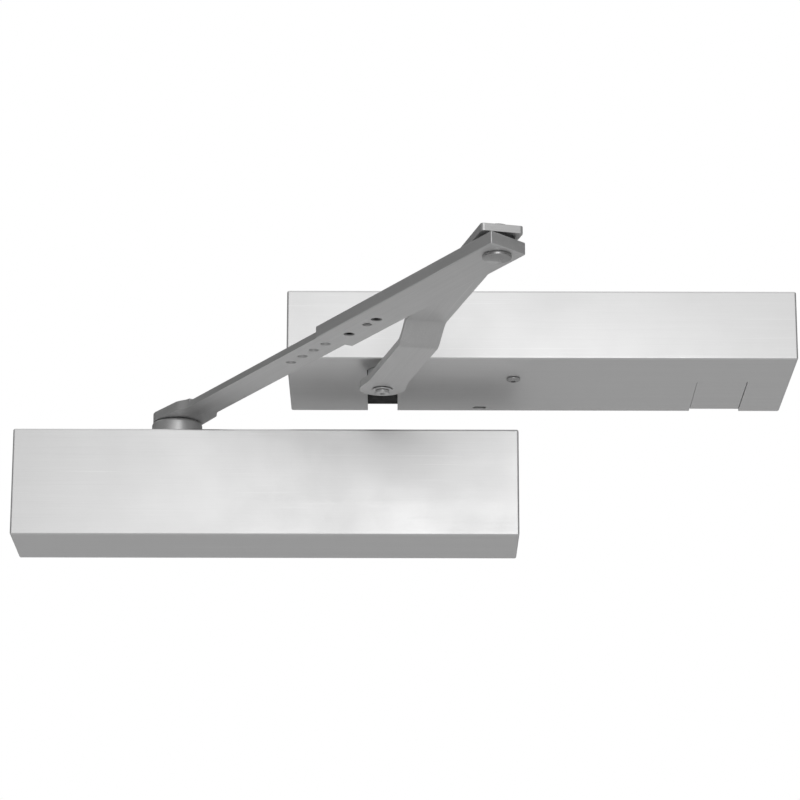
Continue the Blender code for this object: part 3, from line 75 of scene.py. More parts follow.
ARM_TIP = 0.0115               # the main arm past the elbow
ARM_CORNER = 0.002             # corner radius of the main arm's tip
ARM_EDGE = 0.0007              # broken edges of both arms
JOGGLE_START = 0.088           # from the spindle to the main arm's bend
JOGGLE_LENGTH = 0.024
SPINDLE_HEXAGON = 0.0065       # middle to corner of the frame unit's spindle end
SPINDLE_SQUARE = 0.011         # across the flats of the closer's spindle
SCREW_EDGE = 0.0006            # rounded rim of the screw heads on both spindles
THREAD = 0.0030                # radius of the screws on both spindles
THREAD_BORE = 0.0033
ARM_SOCKET = (0.0020, 0.0011)  # radius and depth of a hexagon socket
HUB_SOCKET = (0.0028, 0.0010)
SET_SOCKET = (0.0018, 0.0025)
SET_EDGE = 0.0004              # chamfer of the set screws
SLEEVE_WALL = 0.0015
SLEEVE_EDGE = 0.0008
SLEEVE_TIP = 0.0122            # the sleeve past the elbow
SLEEVE_SKEW = tan(radians(15))     # slant of the end at the elbow
SLEEVE_FAR_SKEW = tan(radians(6))  # slant of the open end
SLEEVE_POCKET = 0.032          # from the elbow to the pocket for the bar
SLEEVE_SCREW_HOLES = (6, 8.25)     # in hole pitches
SLEEVE_OPEN_HOLE = 7.5
BAR_WIDTH = 0.0215
BAR_THICK = 0.004
BAR_HOLE = 0.0030
BAR_HOLE_PITCH = 0.0146
BAR_HOLE_FIRST = 0.1560        # first hole, from the closer's spindle
BAR_HOLES = 5
HUB_RADIUS = 0.0159
HUB_SHOULDER = 0.026           # where the hub starts to narrow
HUB_SHOULDER_WIDTH = 0.0296
HUB_NECK = 0.038               # where the hub has narrowed to the bar
COLLAR_BORE = 0.0083
COLLAR_WALL = 0.0026           # the collar past the cover's slot
COLLAR_FLANGE = 0.0024         # thickness of the collar's flange
COLLAR_CROWN = 0.0022          # radius of the collar's top edge
COLLAR_RIM = 0.0008            # radius of the flange's edge
COLLAR_ROOT = 0.0006           # radius between the flange and the neck
COLLAR_BREAK = 0.0004          # broken edge of the collar's bore
ELBOW_BORE = 0.0053
ELBOW_CROWN = 0.0005           # rise of the domed head of the elbow's pin
ELBOW_DOME = 0.8               # part of the head's radius that the dome takes
ELBOW_RIM = 0.0011             # radius of the head's edge
ELBOW_TIP = 0.0006             # chamfer of the pin's tip
CHAMFER = 0.0003               # rims of the holes in both arms
ROUND_SIDES = 96
HOLE_SIDES = 48


def middle(node):
    """The middle of a node's box."""
    low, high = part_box(node)
    return (low + high) / 2


UNIT_LOW, UNIT_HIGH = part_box("frame_cover")
CASE_LOW, CASE_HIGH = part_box("closer_cover")
SPINDLE = middle("frame_lower_bearing")
CLOSER_SPINDLE = middle("closer_lower_bearing")
ELBOW = middle("elbow_washer")
COVER_SCREW = middle("frame_cover_screw")


def line_between(start, end):
    """The length from start to end and the axes whose +X runs along it."""
    across = end.xy - start.xy
    turn = atan2(across.y, across.x)
    place = Matrix.Translation((start.x, start.y, 0)) @ Matrix.Rotation(turn, 4, "Z")
    return across.length, place


MAIN_LENGTH, MAIN_PLACE = line_between(SPINDLE, ELBOW)
FOREARM_LENGTH, FOREARM_PLACE = line_between(ELBOW, CLOSER_SPINDLE)


# ---------------------------------------------------------------- camera
CAMERA_PLACE = (-0.0936, -2.1625, -0.6733)
CAMERA_LENS = 153              # millimetres
CAMERA_SENSOR = 36
CAMERA_YAW = radians(-0.10)
CAMERA_RISE = radians(16.92)
CAMERA_ROLL = radians(0.09)


def add_camera():
    """Below the object and in front of it, looking up at both undersides."""
    data = bpy.data.cameras.new("camera")
    data.lens = CAMERA_LENS
    data.sensor_width = CAMERA_SENSOR
    data.clip_start = 0.05
    data.clip_end = 50
    camera = bpy.data.objects.new("camera", data)
    yaw = Matrix.Rotation(CAMERA_YAW, 3, "Z")
    pitch = Matrix.Rotation(radians(90) + CAMERA_RISE, 3, "X")
    roll = Matrix.Rotation(CAMERA_ROLL, 3, "Z")
    camera.rotation_euler = (yaw @ pitch @ roll).to_euler()
    camera.location = CAMERA_PLACE
    bpy.context.scene.collection.objects.link(camera)
    bpy.context.scene.camera = camera


# ---------------------------------------------------------------- surfaces
class Finish:
    """A material drawn by noise in a piece's own axes."""

    def __init__(self, name, colour, metallic):
        self.material = bpy.data.materials.new(name)
        self.material.use_nodes = True
        self.tree = self.material.node_tree
        self.shader = self.tree.nodes["Principled BSDF"]
        self.shader.inputs["Metallic"].default_value = metallic
        self.colour = colour
        self.place = self.add("ShaderNodeTexCoord")

    def add(self, kind, **settings):
        node = self.tree.nodes.new(kind)
        for key, value in settings.items():
            setattr(node, key, value)
        return node

    def join(self, output, socket):
        self.tree.links.new(output, socket)

    def math(self, operation, a, b=0.0, c=0.0):
        node = self.add("ShaderNodeMath", operation=operation)
        for socket, value in zip(node.inputs, (a, b, c)):
            if isinstance(value, (int, float)):
                socket.default_value = value
            else:
                self.join(value, socket)
        return node.outputs[0]

    def noise(self, scale, detail=3.0, rough=0.55):
        """Noise with its own number of grains to the metre along each axis."""
        mapping = self.add("ShaderNodeMapping")
        mapping.inputs["Scale"].default_value = scale
        self.join(self.place.outputs["Object"], mapping.inputs["Vector"])
        noise = self.add("ShaderNodeTexNoise")
        noise.inputs["Scale"].default_value = 1.0
        noise.inputs["Detail"].default_value = detail
        noise.inputs["Roughness"].default_value = rough
        self.join(mapping.outputs["Vector"], noise.inputs["Vector"])
        return noise.outputs["Fac"]

    def spread(self, value, low, high, out_low=0.0, out_high=1.0):
        node = self.add("ShaderNodeMapRange")
        node.clamp = True
        self.join(value, node.inputs["Value"])
        for key, number in (
                ("From Min", low), ("From Max", high), ("To Min", out_low), ("To Max", out_high)):
            node.inputs[key].default_value = number
        return node.outputs["Result"]

    def mix(self, factor, a, b):
        node = self.add("ShaderNodeMix", data_type="RGBA")
        self.join(factor, node.inputs[0])
        for socket, value in ((node.inputs[6], a), (node.inputs[7], b)):
            if isinstance(value, tuple):
                socket.default_value = (*value, 1.0)
            else:
                self.join(value, socket)
        return node.outputs[2]

    def mix_values(self, factor, a, b):
        node = self.add("ShaderNodeMix", data_type="FLOAT")
        self.join(factor, node.inputs[0])
        self.join(a, node.inputs[2])
        self.join(b, node.inputs[3])
        return node.outputs[0]

    def shade(self, factor):
        """The finish's colour, darker or lighter."""
        return tuple(min(1.0, channel * factor) for channel in self.colour)

    def end_face(self):
        """1 on faces that look along the piece's own X axis, 0 on its long faces."""
        split = self.add("ShaderNodeSeparateXYZ")
        self.join(self.place.outputs["Normal"], split.inputs[0])
        return self.math("GREATER_THAN", self.math("ABSOLUTE", split.outputs[0]), 0.75)

    def finish(self, colour, roughness, height, depth):
        """Joins the shader's colour, its roughness and a relief of the given depth."""
        self.join(colour, self.shader.inputs["Base Color"])
        self.join(roughness, self.shader.inputs["Roughness"])
        bump = self.add("ShaderNodeBump")
        bump.inputs["Strength"].default_value = 0.6
        bump.inputs["Distance"].default_value = depth
        self.join(height, bump.inputs["Height"])
        self.join(bump.outputs["Normal"], self.shader.inputs["Normal"])
        return self.material


def brushed(name, colour, metallic, roughness, contrast, depth):
    """Sheet or bar ground along its length, with fine and broad streaks and faint smudges."""
    made = Finish(name, colour, metallic)
    end = made.end_face()
    fine = made.mix_values(
        end, made.noise((18, 2600, 2600), 4.0), made.noise((2600, 40, 2600), 4.0))
    broad = made.mix_values(
        end, made.noise((3, 260, 260), 3.0), made.noise((260, 8, 260), 3.0))
    smudge = made.noise((14, 14, 14), 4.0)
    scratch = made.spread(made.noise((9, 1100, 1100), 1.0), 0.70, 0.76)
    streak = made.math("MULTIPLY_ADD", fine, 0.6, made.math("MULTIPLY", broad, 0.4))
    tone = made.spread(streak, 0.30, 0.70)
    surface = made.mix(tone, made.shade(1 - contrast), made.shade(1 + contrast))
    surface = made.mix(scratch, surface, made.shade(1 + 2.2 * contrast))
    rough = made.math(
        "MULTIPLY_ADD", streak, 0.16,
        made.spread(smudge, 0.35, 0.70, roughness - 0.12, roughness - 0.04))
    return made.finish(surface, rough, streak, depth)


def turned_metal(name, colour, metallic, roughness, contrast=0.10):
    """Machined steel with close tool marks and a little staining."""
    made = Finish(name, colour, metallic)
    marks = made.noise((1500, 1500, 5200), 2.0)
    stain = made.noise((160, 160, 160), 4.0)
    tone = made.spread(made.math("MULTIPLY_ADD", marks, 0.5, made.math("MULTIPLY", stain, 0.5)),
                       0.35, 0.68)
    surface = made.mix(tone, made.shade(1 - contrast), made.shade(1 + contrast))
    rough = made.spread(stain, 0.3, 0.7, roughness - 0.06, roughness + 0.10)
    return made.finish(surface, rough, marks, 0.00002)


def sand_cast(name, colour):
    """Cast metal: coarse sand grain under a dull dark coat."""
    made = Finish(name, colour, 0.25)
    grain = made.noise((900, 900, 900), 5.0, rough=0.65)
    lumps = made.noise((120, 120, 120), 2.0)
    tone = made.spread(grain, 0.35, 0.70)
    surface = made.mix(tone, made.shade(0.72), made.shade(1.30))
    rough = made.spread(lumps, 0.3, 0.7, 0.55, 0.75)
    height = made.math("MULTIPLY_ADD", lumps, 0.6, grain)
    return made.finish(surface, rough, height, 0.00018)


def zinc_coat(name, colour):
    """Zinc plate: small bright crystals and a faint warm and cool drift."""
    made = Finish(name, colour, 0.85)
    crystals = made.add("ShaderNodeTexVoronoi")
    mapping = made.add("ShaderNodeMapping")
    mapping.inputs["Scale"].default_value = (260, 260, 260)
    made.join(made.place.outputs["Object"], mapping.inputs["Vector"])
    made.join(mapping.outputs["Vector"], crystals.inputs["Vector"])
    crystals.inputs["Scale"].default_value = 1.0
    split = made.add("ShaderNodeSeparateColor")
    made.join(crystals.outputs["Color"], split.inputs[0])
    flake = split.outputs[0]
    drift = made.noise((30, 30, 30), 3.0)
    warm = (colour[0] * 1.06, colour[1] * 1.0, colour[2] * 0.88)
    cool = (colour[0] * 0.90, colour[1] * 0.95, colour[2] * 1.04)
    tint = made.mix(made.spread(drift, 0.35, 0.65), cool, warm)
    surface = made.mix(made.spread(flake, 0.0, 1.0, 0.0, 0.35), tint, made.shade(1.25))
    rough = made.spread(flake, 0.0, 1.0, 0.32, 0.50)
    return made.finish(surface, rough, drift, 0.00005)


def moulded(name, colour, roughness):
    """Moulded plastic or rubber with a fine spark-eroded grain."""
    made = Finish(name, colour, 0.0)
    grain = made.noise((1400, 1400, 1400), 3.0)
    drift = made.noise((45, 45, 45), 3.0)
    surface = made.mix(made.spread(drift, 0.3, 0.7), made.shade(0.85), made.shade(1.2))
    rough = made.spread(grain, 0.3, 0.7, roughness - 0.08, roughness + 0.10)
    return made.finish(surface, rough, grain, 0.00006)


def board_coat(name, colour):
    """A circuit board: solder resist over straight copper tracks."""
    made = Finish(name, colour, 0.0)
    across = made.noise((900, 60, 60), 0.0)
    along = made.noise((60, 60, 900), 0.0)
    track = made.math("MAXIMUM", made.spread(across, 0.56, 0.58), made.spread(along, 0.56, 0.58))
    surface = made.mix(track, made.shade(0.85), made.shade(1.9))
    rough = made.spread(track, 0.0, 1.0, 0.38, 0.26)
    return made.finish(surface, rough, track, 0.00004)


def winding(name, colour):
    """Enamelled wire wound side by side about the piece's X direction, each turn with painted shade
    in its grooves and a painted highlight on its crown.
    """
    made = Finish(name, colour, 0.6)
    wave = made.add("ShaderNodeTexWave", wave_type="BANDS", bands_direction="X")
    wave.inputs["Scale"].default_value = 520
    wave.inputs["Distortion"].default_value = 0.4
    made.join(made.place.outputs["Object"], wave.inputs["Vector"])
    turn_shading = wave.outputs["Fac"]
    # painted shade in the grooves between the turns and a painted highlight on each turn's crown;
    # the same bands also set the roughness and the bump
    surface = made.mix(turn_shading, made.shade(0.45), made.shade(1.25))
    rough = made.spread(turn_shading, 0.0, 1.0, 0.45, 0.25)
    return made.finish(surface, rough, turn_shading, 0.0002)


FINISHES = {
    "brushed_cover": brushed("brushed_cover", (0.80, 0.80, 0.80), 0.90, 0.46, 0.035, 0.000012),
    "arm_steel": brushed("arm_steel", (0.66, 0.66, 0.66), 0.75, 0.44, 0.07, 0.00002),
    "casting": sand_cast("casting", (0.022, 0.022, 0.023)),
    "machined_steel": turned_metal("machined_steel", (0.46, 0.46, 0.46), 0.95, 0.30),
    "dark_steel": turned_metal("dark_steel", (0.06, 0.06, 0.062), 0.70, 0.42),
    "zinc_plate": zinc_coat("zinc_plate", (0.56, 0.56, 0.55)),
    "brass": turned_metal("brass", (0.62, 0.44, 0.17), 1.0, 0.28),
    "seal_rubber": moulded("seal_rubber", (0.018, 0.018, 0.018), 0.70),
    "black_plastic": moulded("black_plastic", (0.035, 0.036, 0.038), 0.45),
    "grey_plastic": moulded("grey_plastic", (0.42, 0.43, 0.44), 0.45),
    "board": board_coat("board", (0.012, 0.13, 0.045)),
    "coil_winding": winding("coil_winding", (0.50, 0.20, 0.07)),
}

NODE_FINISHES = {
    "machined_steel": (
        "frame_spindle", "frame_piston", "frame_end_cap_left", "frame_end_cap_right",
        "frame_upper_bearing", "frame_lower_bearing", "frame_body_screw_1",
        "frame_body_screw_2", "frame_body_screw_3", "frame_body_screw_4", "solenoid_tube",
        "solenoid_nut", "closer_spindle", "closer_piston", "closer_end_cap_left",
        "closer_end_cap_right", "closer_upper_bearing", "closer_lower_bearing",
        "closer_bottom_cap", "closer_body_screw_1", "closer_body_screw_2",
        "closer_body_screw_3", "closer_body_screw_4", "closer_spring_seat"),
    "dark_steel": (
        "solenoid_plunger", "closer_spring", "closer_spring_adjuster", "elbow_washer",
        "elbow_retaining_ring", "forearm_set_screw_1", "forearm_set_screw_2"),
    "casting": ("frame_body", "closer_body"),
    "zinc_plate": (
        "frame_backplate", "closer_backplate", "solenoid_yoke", "frame_spindle_collar"),
    "brass": (
        "sweep_valve", "latch_valve", "backcheck_valve", "board_post_1", "board_post_2"),
    "seal_rubber": ("closer_spindle_seal",),
    "black_plastic": ("terminal_block",),
    "grey_plastic": ("control_relay",),
    "board": ("circuit_board",),
    "coil_winding": ("solenoid_coil",),
}


def paint_nodes():
    """Gives each CAD node that stays its surface."""
    for finish, nodes in NODE_FINISHES.items():
        for node in nodes:
            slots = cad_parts[node].data.materials
            slots.clear()
            slots.append(FINISHES[finish])


# ---------------------------------------------------------------- mesh tools
def add_prism(shape, outline, bottom, top):
    """An outline of (x, y) points drawn out along Z."""
    near = [shape.verts.new((x, y, bottom)) for x, y in outline]
    far = [shape.verts.new((x, y, top)) for x, y in outline]
    shape.faces.new(list(reversed(near)))
    shape.faces.new(far)
    for i in range(len(outline)):
        j = (i + 1) % len(outline)
        shape.faces.new((near[i], near[j], far[j], far[i]))


def add_box(shape, low, high):
    outline = [(low[0], low[1]), (high[0], low[1]), (high[0], high[1]), (low[0], high[1])]
    add_prism(shape, outline, low[2], high[2])


def add_turned(shape, outline, centre=(0, 0), sides=ROUND_SIDES, closed=False):
    """An outline of (radius, z) points turned about a vertical axis."""
    rows = []
    for radius, z in outline:
        if radius == 0:
            rows.append([shape.verts.new((centre[0], centre[1], z))] * sides)
            continue
        rows.append([
            shape.verts.new((
                centre[0] + radius * cos(2 * pi * i / sides),
                centre[1] + radius * sin(2 * pi * i / sides), z))
            for i in range(sides)])
    pairs = list(zip(rows, rows[1:]))
    if closed:
        pairs.append((rows[-1], rows[0]))
    for first, second in pairs:
        for i in range(sides):
            j = (i + 1) % sides
            corners = []
            for corner in (first[i], first[j], second[j], second[i]):
                if corner not in corners:
                    corners.append(corner)
            shape.faces.new(corners)


def add_rod(shape, radius, bottom, top, centre=(0, 0)):
    outline = [(0, bottom), (radius, bottom), (radius, top), (0, top)]
    add_turned(shape, outline, centre, HOLE_SIDES)


def add_hole(shape, radius, low, high, centre):
    """A cutter for a through hole whose rims are chamfered."""
    mouth = radius + CHAMFER + PAST
    add_turned(shape, [
        (0, low - PAST),
        (mouth, low - PAST),
        (radius, low + CHAMFER),
        (radius, high - CHAMFER),
        (mouth, high + PAST),
        (0, high + PAST),
    ], centre, HOLE_SIDES)


def arc(centre, radius, start, end, steps):
    """Points on an arc, both ends included."""
    return [
        (centre[0] + radius * cos(start + (end - start) * i / steps),
         centre[1] + radius * sin(start + (end - start) * i / steps))
        for i in range(steps + 1)]


def polygon(radius, sides, centre=(0, 0), turn=0.0):
    return arc(centre, radius, turn, turn + 2 * pi, sides)[:-1]


def ease(part):
    """Goes smoothly from 0 to 1 as part does."""
    return (1 - cos(pi * part)) / 2


def new_object(name, shape, place=None):
    bmesh.ops.recalc_face_normals(shape, faces=shape.faces)
    mesh = bpy.data.meshes.new(name)
    shape.to_mesh(mesh)
    shape.free()
    item = bpy.data.objects.new(name, mesh)
    if place is not None:
        item.matrix_world = place
    bpy.context.scene.collection.objects.link(item)
    return item


def combine(item, shape, operation):
    """Applies a shape, drawn in the item's own axes, to it."""
    tool = new_object("tool", shape, item.matrix_world.copy())
    modifier = item.modifiers.new("combine", "BOOLEAN")
    modifier.operation = operation
    modifier.solver = "EXACT"
    modifier.object = tool
    apply_modifiers(item)
    bpy.data.objects.remove(tool, do_unlink=True)


def cut(item, shape):
    combine(item, shape, "DIFFERENCE")


def join(item, shape):
    combine(item, shape, "UNION")


def apply_modifiers(item):
    bpy.context.view_layer.update()
    graph = bpy.context.evaluated_depsgraph_get()
    mesh = bpy.data.meshes.new_from_object(item.evaluated_get(graph))
    item.modifiers.clear()
    item.data = mesh


def soften(item, width, segments=3, angle=50):
    """Rounds the edges that are sharper than the angle."""
    modifier = item.modifiers.new("edges", "BEVEL")
    modifier.width = width
    modifier.segments = segments
    modifier.limit_method = "ANGLE"
    modifier.angle_limit = radians(angle)
    modifier.miter_outer = "MITER_ARC"
    modifier.use_clamp_overlap = True
    apply_modifiers(item)


def settle(item, finish, body, replaced, sharp=40):
    """Shades a piece, gives it its surface and lets it ride on its body."""
    item.data.shade_smooth()
    item.data.set_sharp_from_angle(angle=radians(sharp))
    weighted = item.modifiers.new("normals", "WEIGHTED_NORMAL")
    weighted.keep_sharp = True
    apply_modifiers(item)
    item.data.materials.clear()
    item.data.materials.append(FINISHES[finish])
    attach(item, body)
    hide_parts(*replaced)


# ---------------------------------------------------------------- covers
def cover_shell(name, low, high):
    """Folded sheet with five sides, open at the back, with rounded outer edges."""
    shape = bmesh.new()
    add_box(shape, low, high)
    back = [f for f in shape.faces if f.calc_center_median().y > high.y - GAP]
    bmesh.ops.delete(shape, geom=back, context="FACES")
    edges = [e for e in shape.edges if not e.is_boundary]
    bmesh.ops.bevel(
        shape, geom=edges, offset=COVER_EDGE, segments=5, profile=0.5, affect="EDGES")
    shell = new_object(name, shape)
    sheet = shell.modifiers.new("sheet", "SOLIDIFY")
    sheet.thickness = SHEET
    sheet.offset = -1
    sheet.use_even_offset = True
    apply_modifiers(shell)
    return shell


def slot_outline(centre, half, tip, back):
    """A slot with a round end at tip, open past back."""
    outline = [(centre + half, back + PAST), (centre - half, back + PAST)]
    outline += arc((centre, tip), half, pi, 2 * pi, 32)
    return outline


def rounded_slot(width, depth, centre):
    half = (width - depth) / 2
    outline = arc((centre[0] + half, centre[1]), depth / 2, -pi / 2, pi / 2, 12)
    outline += arc((centre[0] - half, centre[1]), depth / 2, pi / 2, 3 * pi / 2, 12)
    return outline


def frame_cover():
    cover = cover_shell("frame_cover_sheet", UNIT_LOW, UNIT_HIGH)
    low = UNIT_LOW.z - PAST
    high = UNIT_LOW.z + SHEET + PAST
    plug_right = UNIT_HIGH.x - PLUG_FROM_END
    plug_left = plug_right - PLUG_WIDTH
    openings = bmesh.new()
    add_prism(openings, slot_outline(SPINDLE.x, SLOT_WIDTH / 2, SPINDLE.y, UNIT_HIGH.y), low, high)
    add_box(openings, (plug_left, -PLUG_LENGTH, low), (plug_right, UNIT_HIGH.y + PAST, high))
    add_rod(openings, COVER_SCREW_HOLE, low, high, COVER_SCREW.xy)
    add_prism(openings, rounded_slot(*RELEASE_SLOT, RELEASE_PLACE), low, high)
    cut(cover, openings)
    soften(cover, CUT_EDGE, 2)
    settle(cover, "brushed_cover", "frame_unit", ["frame_cover"])


def closer_cover():
    cover = cover_shell("closer_cover_sheet", CASE_LOW, CASE_HIGH)
    slot = bmesh.new()
    outline = slot_outline(CLOSER_SPINDLE.x, CASE_SLOT_WIDTH / 2, CLOSER_SPINDLE.y, CASE_HIGH.y)
    add_prism(slot, outline, CASE_HIGH.z - SHEET - PAST, CASE_HIGH.z + PAST)
    cut(cover, slot)
    soften(cover, CUT_EDGE, 2)
    settle(cover, "brushed_cover", "door_closer", ["closer_cover"])


def slot_plug():
    """The second slot's filler: a pressed face on a lip that grips the sheet from inside."""
    low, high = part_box("frame_slot_plug")
    lip_floor = UNIT_LOW.z + SHEET + GAP
    lip = bmesh.new()
    add_box(lip, (low.x, low.y, lip_floor), high)
    plug = new_object("slot_plug", lip)
    plug_right = UNIT_HIGH.x - PLUG_FROM_END
    face = bmesh.new()
    add_box(
        face,
        (plug_right - PLUG_WIDTH + GAP, -PLUG_LENGTH + GAP, low.z),
        (plug_right - GAP, high.y, lip_floor + GAP))
    join(plug, face)
    soften(plug, 0.0004)
    settle(plug, "brushed_cover", "frame_unit", ["frame_slot_plug"])


# ---------------------------------------------------------------- screws and turned pieces
def rounded_head(radius, top, bottom, edge, steps=6):
    """Outline of a head that points down: flat face, round rim, straight side."""
    outline = [(0, bottom)]
    for i in range(steps + 1):
        angle = pi / 2 * i / steps
        outline.append((radius - edge + edge * sin(angle), bottom + edge - edge * cos(angle)))
    outline.append((radius, top))
    return outline


def cover_screw():
    """A button-head screw with a hexagon socket."""
    low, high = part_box("frame_cover_screw")
    radius = (high.x - low.x) / 2
    head = UNIT_LOW.z - GAP
    shank = COVER_SCREW_SHANK
    outline = [(0, high.z), (shank - GAP, high.z), (shank, high.z - GAP)]
    outline += [(shank, head), (radius, head)]
    dome = head - low.z - COVER_SCREW_RIM
    steps = 12
    for i in range(steps):
        angle = pi / 2 * i / steps
        outline.append((radius * cos(angle), head - COVER_SCREW_RIM - dome * sin(angle)))
    outline.append((0, low.z))
    shape = bmesh.new()
    add_turned(shape, outline, COVER_SCREW.xy, 64)
    screw = new_object("cover_screw", shape)
    socket = bmesh.new()
    hexagon = polygon(COVER_SCREW_SOCKET, 6, COVER_SCREW.xy, COVER_SCREW_TURN)
    add_prism(socket, hexagon, low.z - PAST, head - COVER_SCREW_WEB)
    cut(screw, socket)
    soften(screw, 0.00012, 2, 40)
    settle(screw, "machined_steel", "frame_unit", ["frame_cover_screw"])


def main_arm_screw():
    """The cap screw under the main arm's hub, with a low head and a hexagon socket."""
    low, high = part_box("main_arm_screw")
    washer_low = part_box("main_arm_washer")[0].z
    radius = (high.x - low.x) / 2
    head_top = washer_low - GAP
    shape = bmesh.new()
    outline = rounded_head(radius, head_top, low.z, SCREW_EDGE)
    outline += [(THREAD, head_top), (THREAD, high.z), (0, high.z)]
    add_turned(shape, outline, (0, 0), 72)
    screw = new_object("arm_screw", shape, MAIN_PLACE)
    socket = bmesh.new()
    add_prism(socket, polygon(ARM_SOCKET[0], 6), low.z - PAST, low.z + ARM_SOCKET[1])
    cut(screw, socket)
    settle(screw, "arm_steel", "main_arm_body", ["main_arm_screw"], 30)


def ring(name, node, inner, edge, finish, body, place):
    """A washer with broken edges where a CAD washer lies."""
    low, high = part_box(node)
    outer = (high.x - low.x) / 2
    shape = bmesh.new()
    add_turned(shape, [
        (inner, low.z + edge), (inner + edge, low.z), (outer - edge, low.z),
        (outer, low.z + edge), (outer, high.z - edge), (outer - edge, high.z),
        (inner + edge, high.z), (inner, high.z - edge)], (0, 0), ROUND_SIDES, closed=True)
    piece = new_object(name, shape, place)
    settle(piece, finish, body, [node], 50)


def closer_collar():
    """The turned ring round the closer's spindle: spigot, flange, neck and a crowned top."""
    low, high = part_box("closer_collar")
    spigot = CASE_SLOT_WIDTH / 2 - 2 * GAP
    flange = (high.x - low.x) / 2
    neck = CASE_SLOT_WIDTH / 2 + COLLAR_WALL
    flange_low = CASE_HIGH.z + GAP
    flange_top = flange_low + COLLAR_FLANGE
    outline = [(COLLAR_BORE, low.z), (spigot, low.z), (spigot, flange_low), (flange, flange_low)]
    rim = (flange - COLLAR_RIM, flange_top - COLLAR_RIM)
    root = (neck + COLLAR_ROOT, flange_top + COLLAR_ROOT)
    crown = (neck - COLLAR_CROWN, high.z - COLLAR_CROWN)
    outline += arc(rim, COLLAR_RIM, 0, pi / 2, 6)
    outline += arc(root, COLLAR_ROOT, -pi / 2, -pi, 5)
    outline += arc(crown, COLLAR_CROWN, 0, pi / 2, 8)
    outline += [(COLLAR_BORE + COLLAR_BREAK, high.z), (COLLAR_BORE, high.z - COLLAR_BREAK)]
    shape = bmesh.new()
    add_turned(shape, outline, CLOSER_SPINDLE.xy, 128, closed=True)
    collar = new_object("spindle_collar", shape)
    settle(collar, "arm_steel", "door_closer", ["closer_collar"])


def elbow_pin():
    """The pivot: a low domed head under the sleeve, a shank and a chamfered tip."""
    low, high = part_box("elbow_pin")
    radius = (high.x - low.x) / 2
    head_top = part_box("forearm_sleeve")[0].z - GAP
    shank = ELBOW_BORE - GAP
    shape = bmesh.new()
    outline = [(0, low.z)]
    for i in range(1, 7):
        part = i / 6
        outline.append((radius * ELBOW_DOME * part, low.z + ELBOW_CROWN * part ** 2))
    rim = (radius - ELBOW_RIM, low.z + ELBOW_CROWN + ELBOW_RIM)
    outline += arc(rim, ELBOW_RIM, -pi / 3, 0, 5)
    outline += [(radius, head_top), (shank, head_top), (shank, high.z - ELBOW_TIP)]
    outline += [(shank - ELBOW_TIP, high.z), (0, high.z)]
    add_turned(shape, outline)
    pin = new_object("elbow_pivot", shape, FOREARM_PLACE)
    settle(pin, "machined_steel", "forearm_body", ["elbow_pin"], 30)


# ---------------------------------------------------------------- main arm
def main_arm():
    """The cranked bar, swept along X with a smooth joggle, then rounded along its edges."""
    low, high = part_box("main_arm")
    half = ARM_WIDTH / 2
    rise = high.z - ARM_THICK - low.z
    stations = []
    for i in range(1, 25):
        angle = pi / 2 * i / 24
        stations.append((-ARM_HUB * cos(angle), ARM_HUB * sin(angle), 0.0))
    for i in range(1, 9):
        part = i / 8
        side = ARM_HUB + (half - ARM_HUB) * ease(part)
        stations.append((ARM_HUB * 1.3 * part, side, 0.0))
    bends = 24
    for i in range(bends + 1):
        part = i / bends
        stations.append((JOGGLE_START + JOGGLE_LENGTH * part, half, ease(part)))
    end = MAIN_LENGTH + ARM_TIP
    for side, x in arc((half - ARM_CORNER, end - ARM_CORNER), ARM_CORNER, 0, pi / 2, 6):
        stations.append((x, side, 1.0))
    shape = bmesh.new()
    rows = []
    for x, side, lift in stations:
        bottom = low.z + lift * rise
        top = bottom + ARM_THICK
        corners = ((-side, bottom), (side, bottom), (side, top), (-side, top))
        rows.append([shape.verts.new((x, y, z)) for y, z in corners])
    for first, second in zip(rows, rows[1:]):
        for k in range(4):
            m = (k + 1) % 4
            shape.faces.new((first[k], first[m], second[m], second[k]))
    shape.faces.new(rows[0])
    shape.faces.new(list(reversed(rows[-1])))
    arm = new_object("main_arm_bar", shape, MAIN_PLACE)
    holes = bmesh.new()
    drive = polygon(SPINDLE_HEXAGON + GAP, 6)
    add_prism(holes, drive, low.z - PAST, low.z + ARM_THICK + PAST)
    add_rod(holes, ELBOW_BORE, low.z, high.z + PAST, (MAIN_LENGTH, 0))
    cut(arm, holes)
    soften(arm, ARM_EDGE)
    settle(arm, "arm_steel", "main_arm_body", ["main_arm"])


# ---------------------------------------------------------------- forearm
def hole_place(number):
    """Distance of a bar hole from the elbow."""
    return FOREARM_LENGTH - BAR_HOLE_FIRST - BAR_HOLE_PITCH * (number - 1)


def local_box(node, place):
    """A node's lowest and highest corner in the axes of an arm."""
    back = place.inverted()
    points = [back @ v.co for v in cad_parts[node].data.vertices]
    low = Vector([min(p[k] for p in points) for k in range(3)])
    high = Vector([max(p[k] for p in points) for k in range(3)])
    return low, high


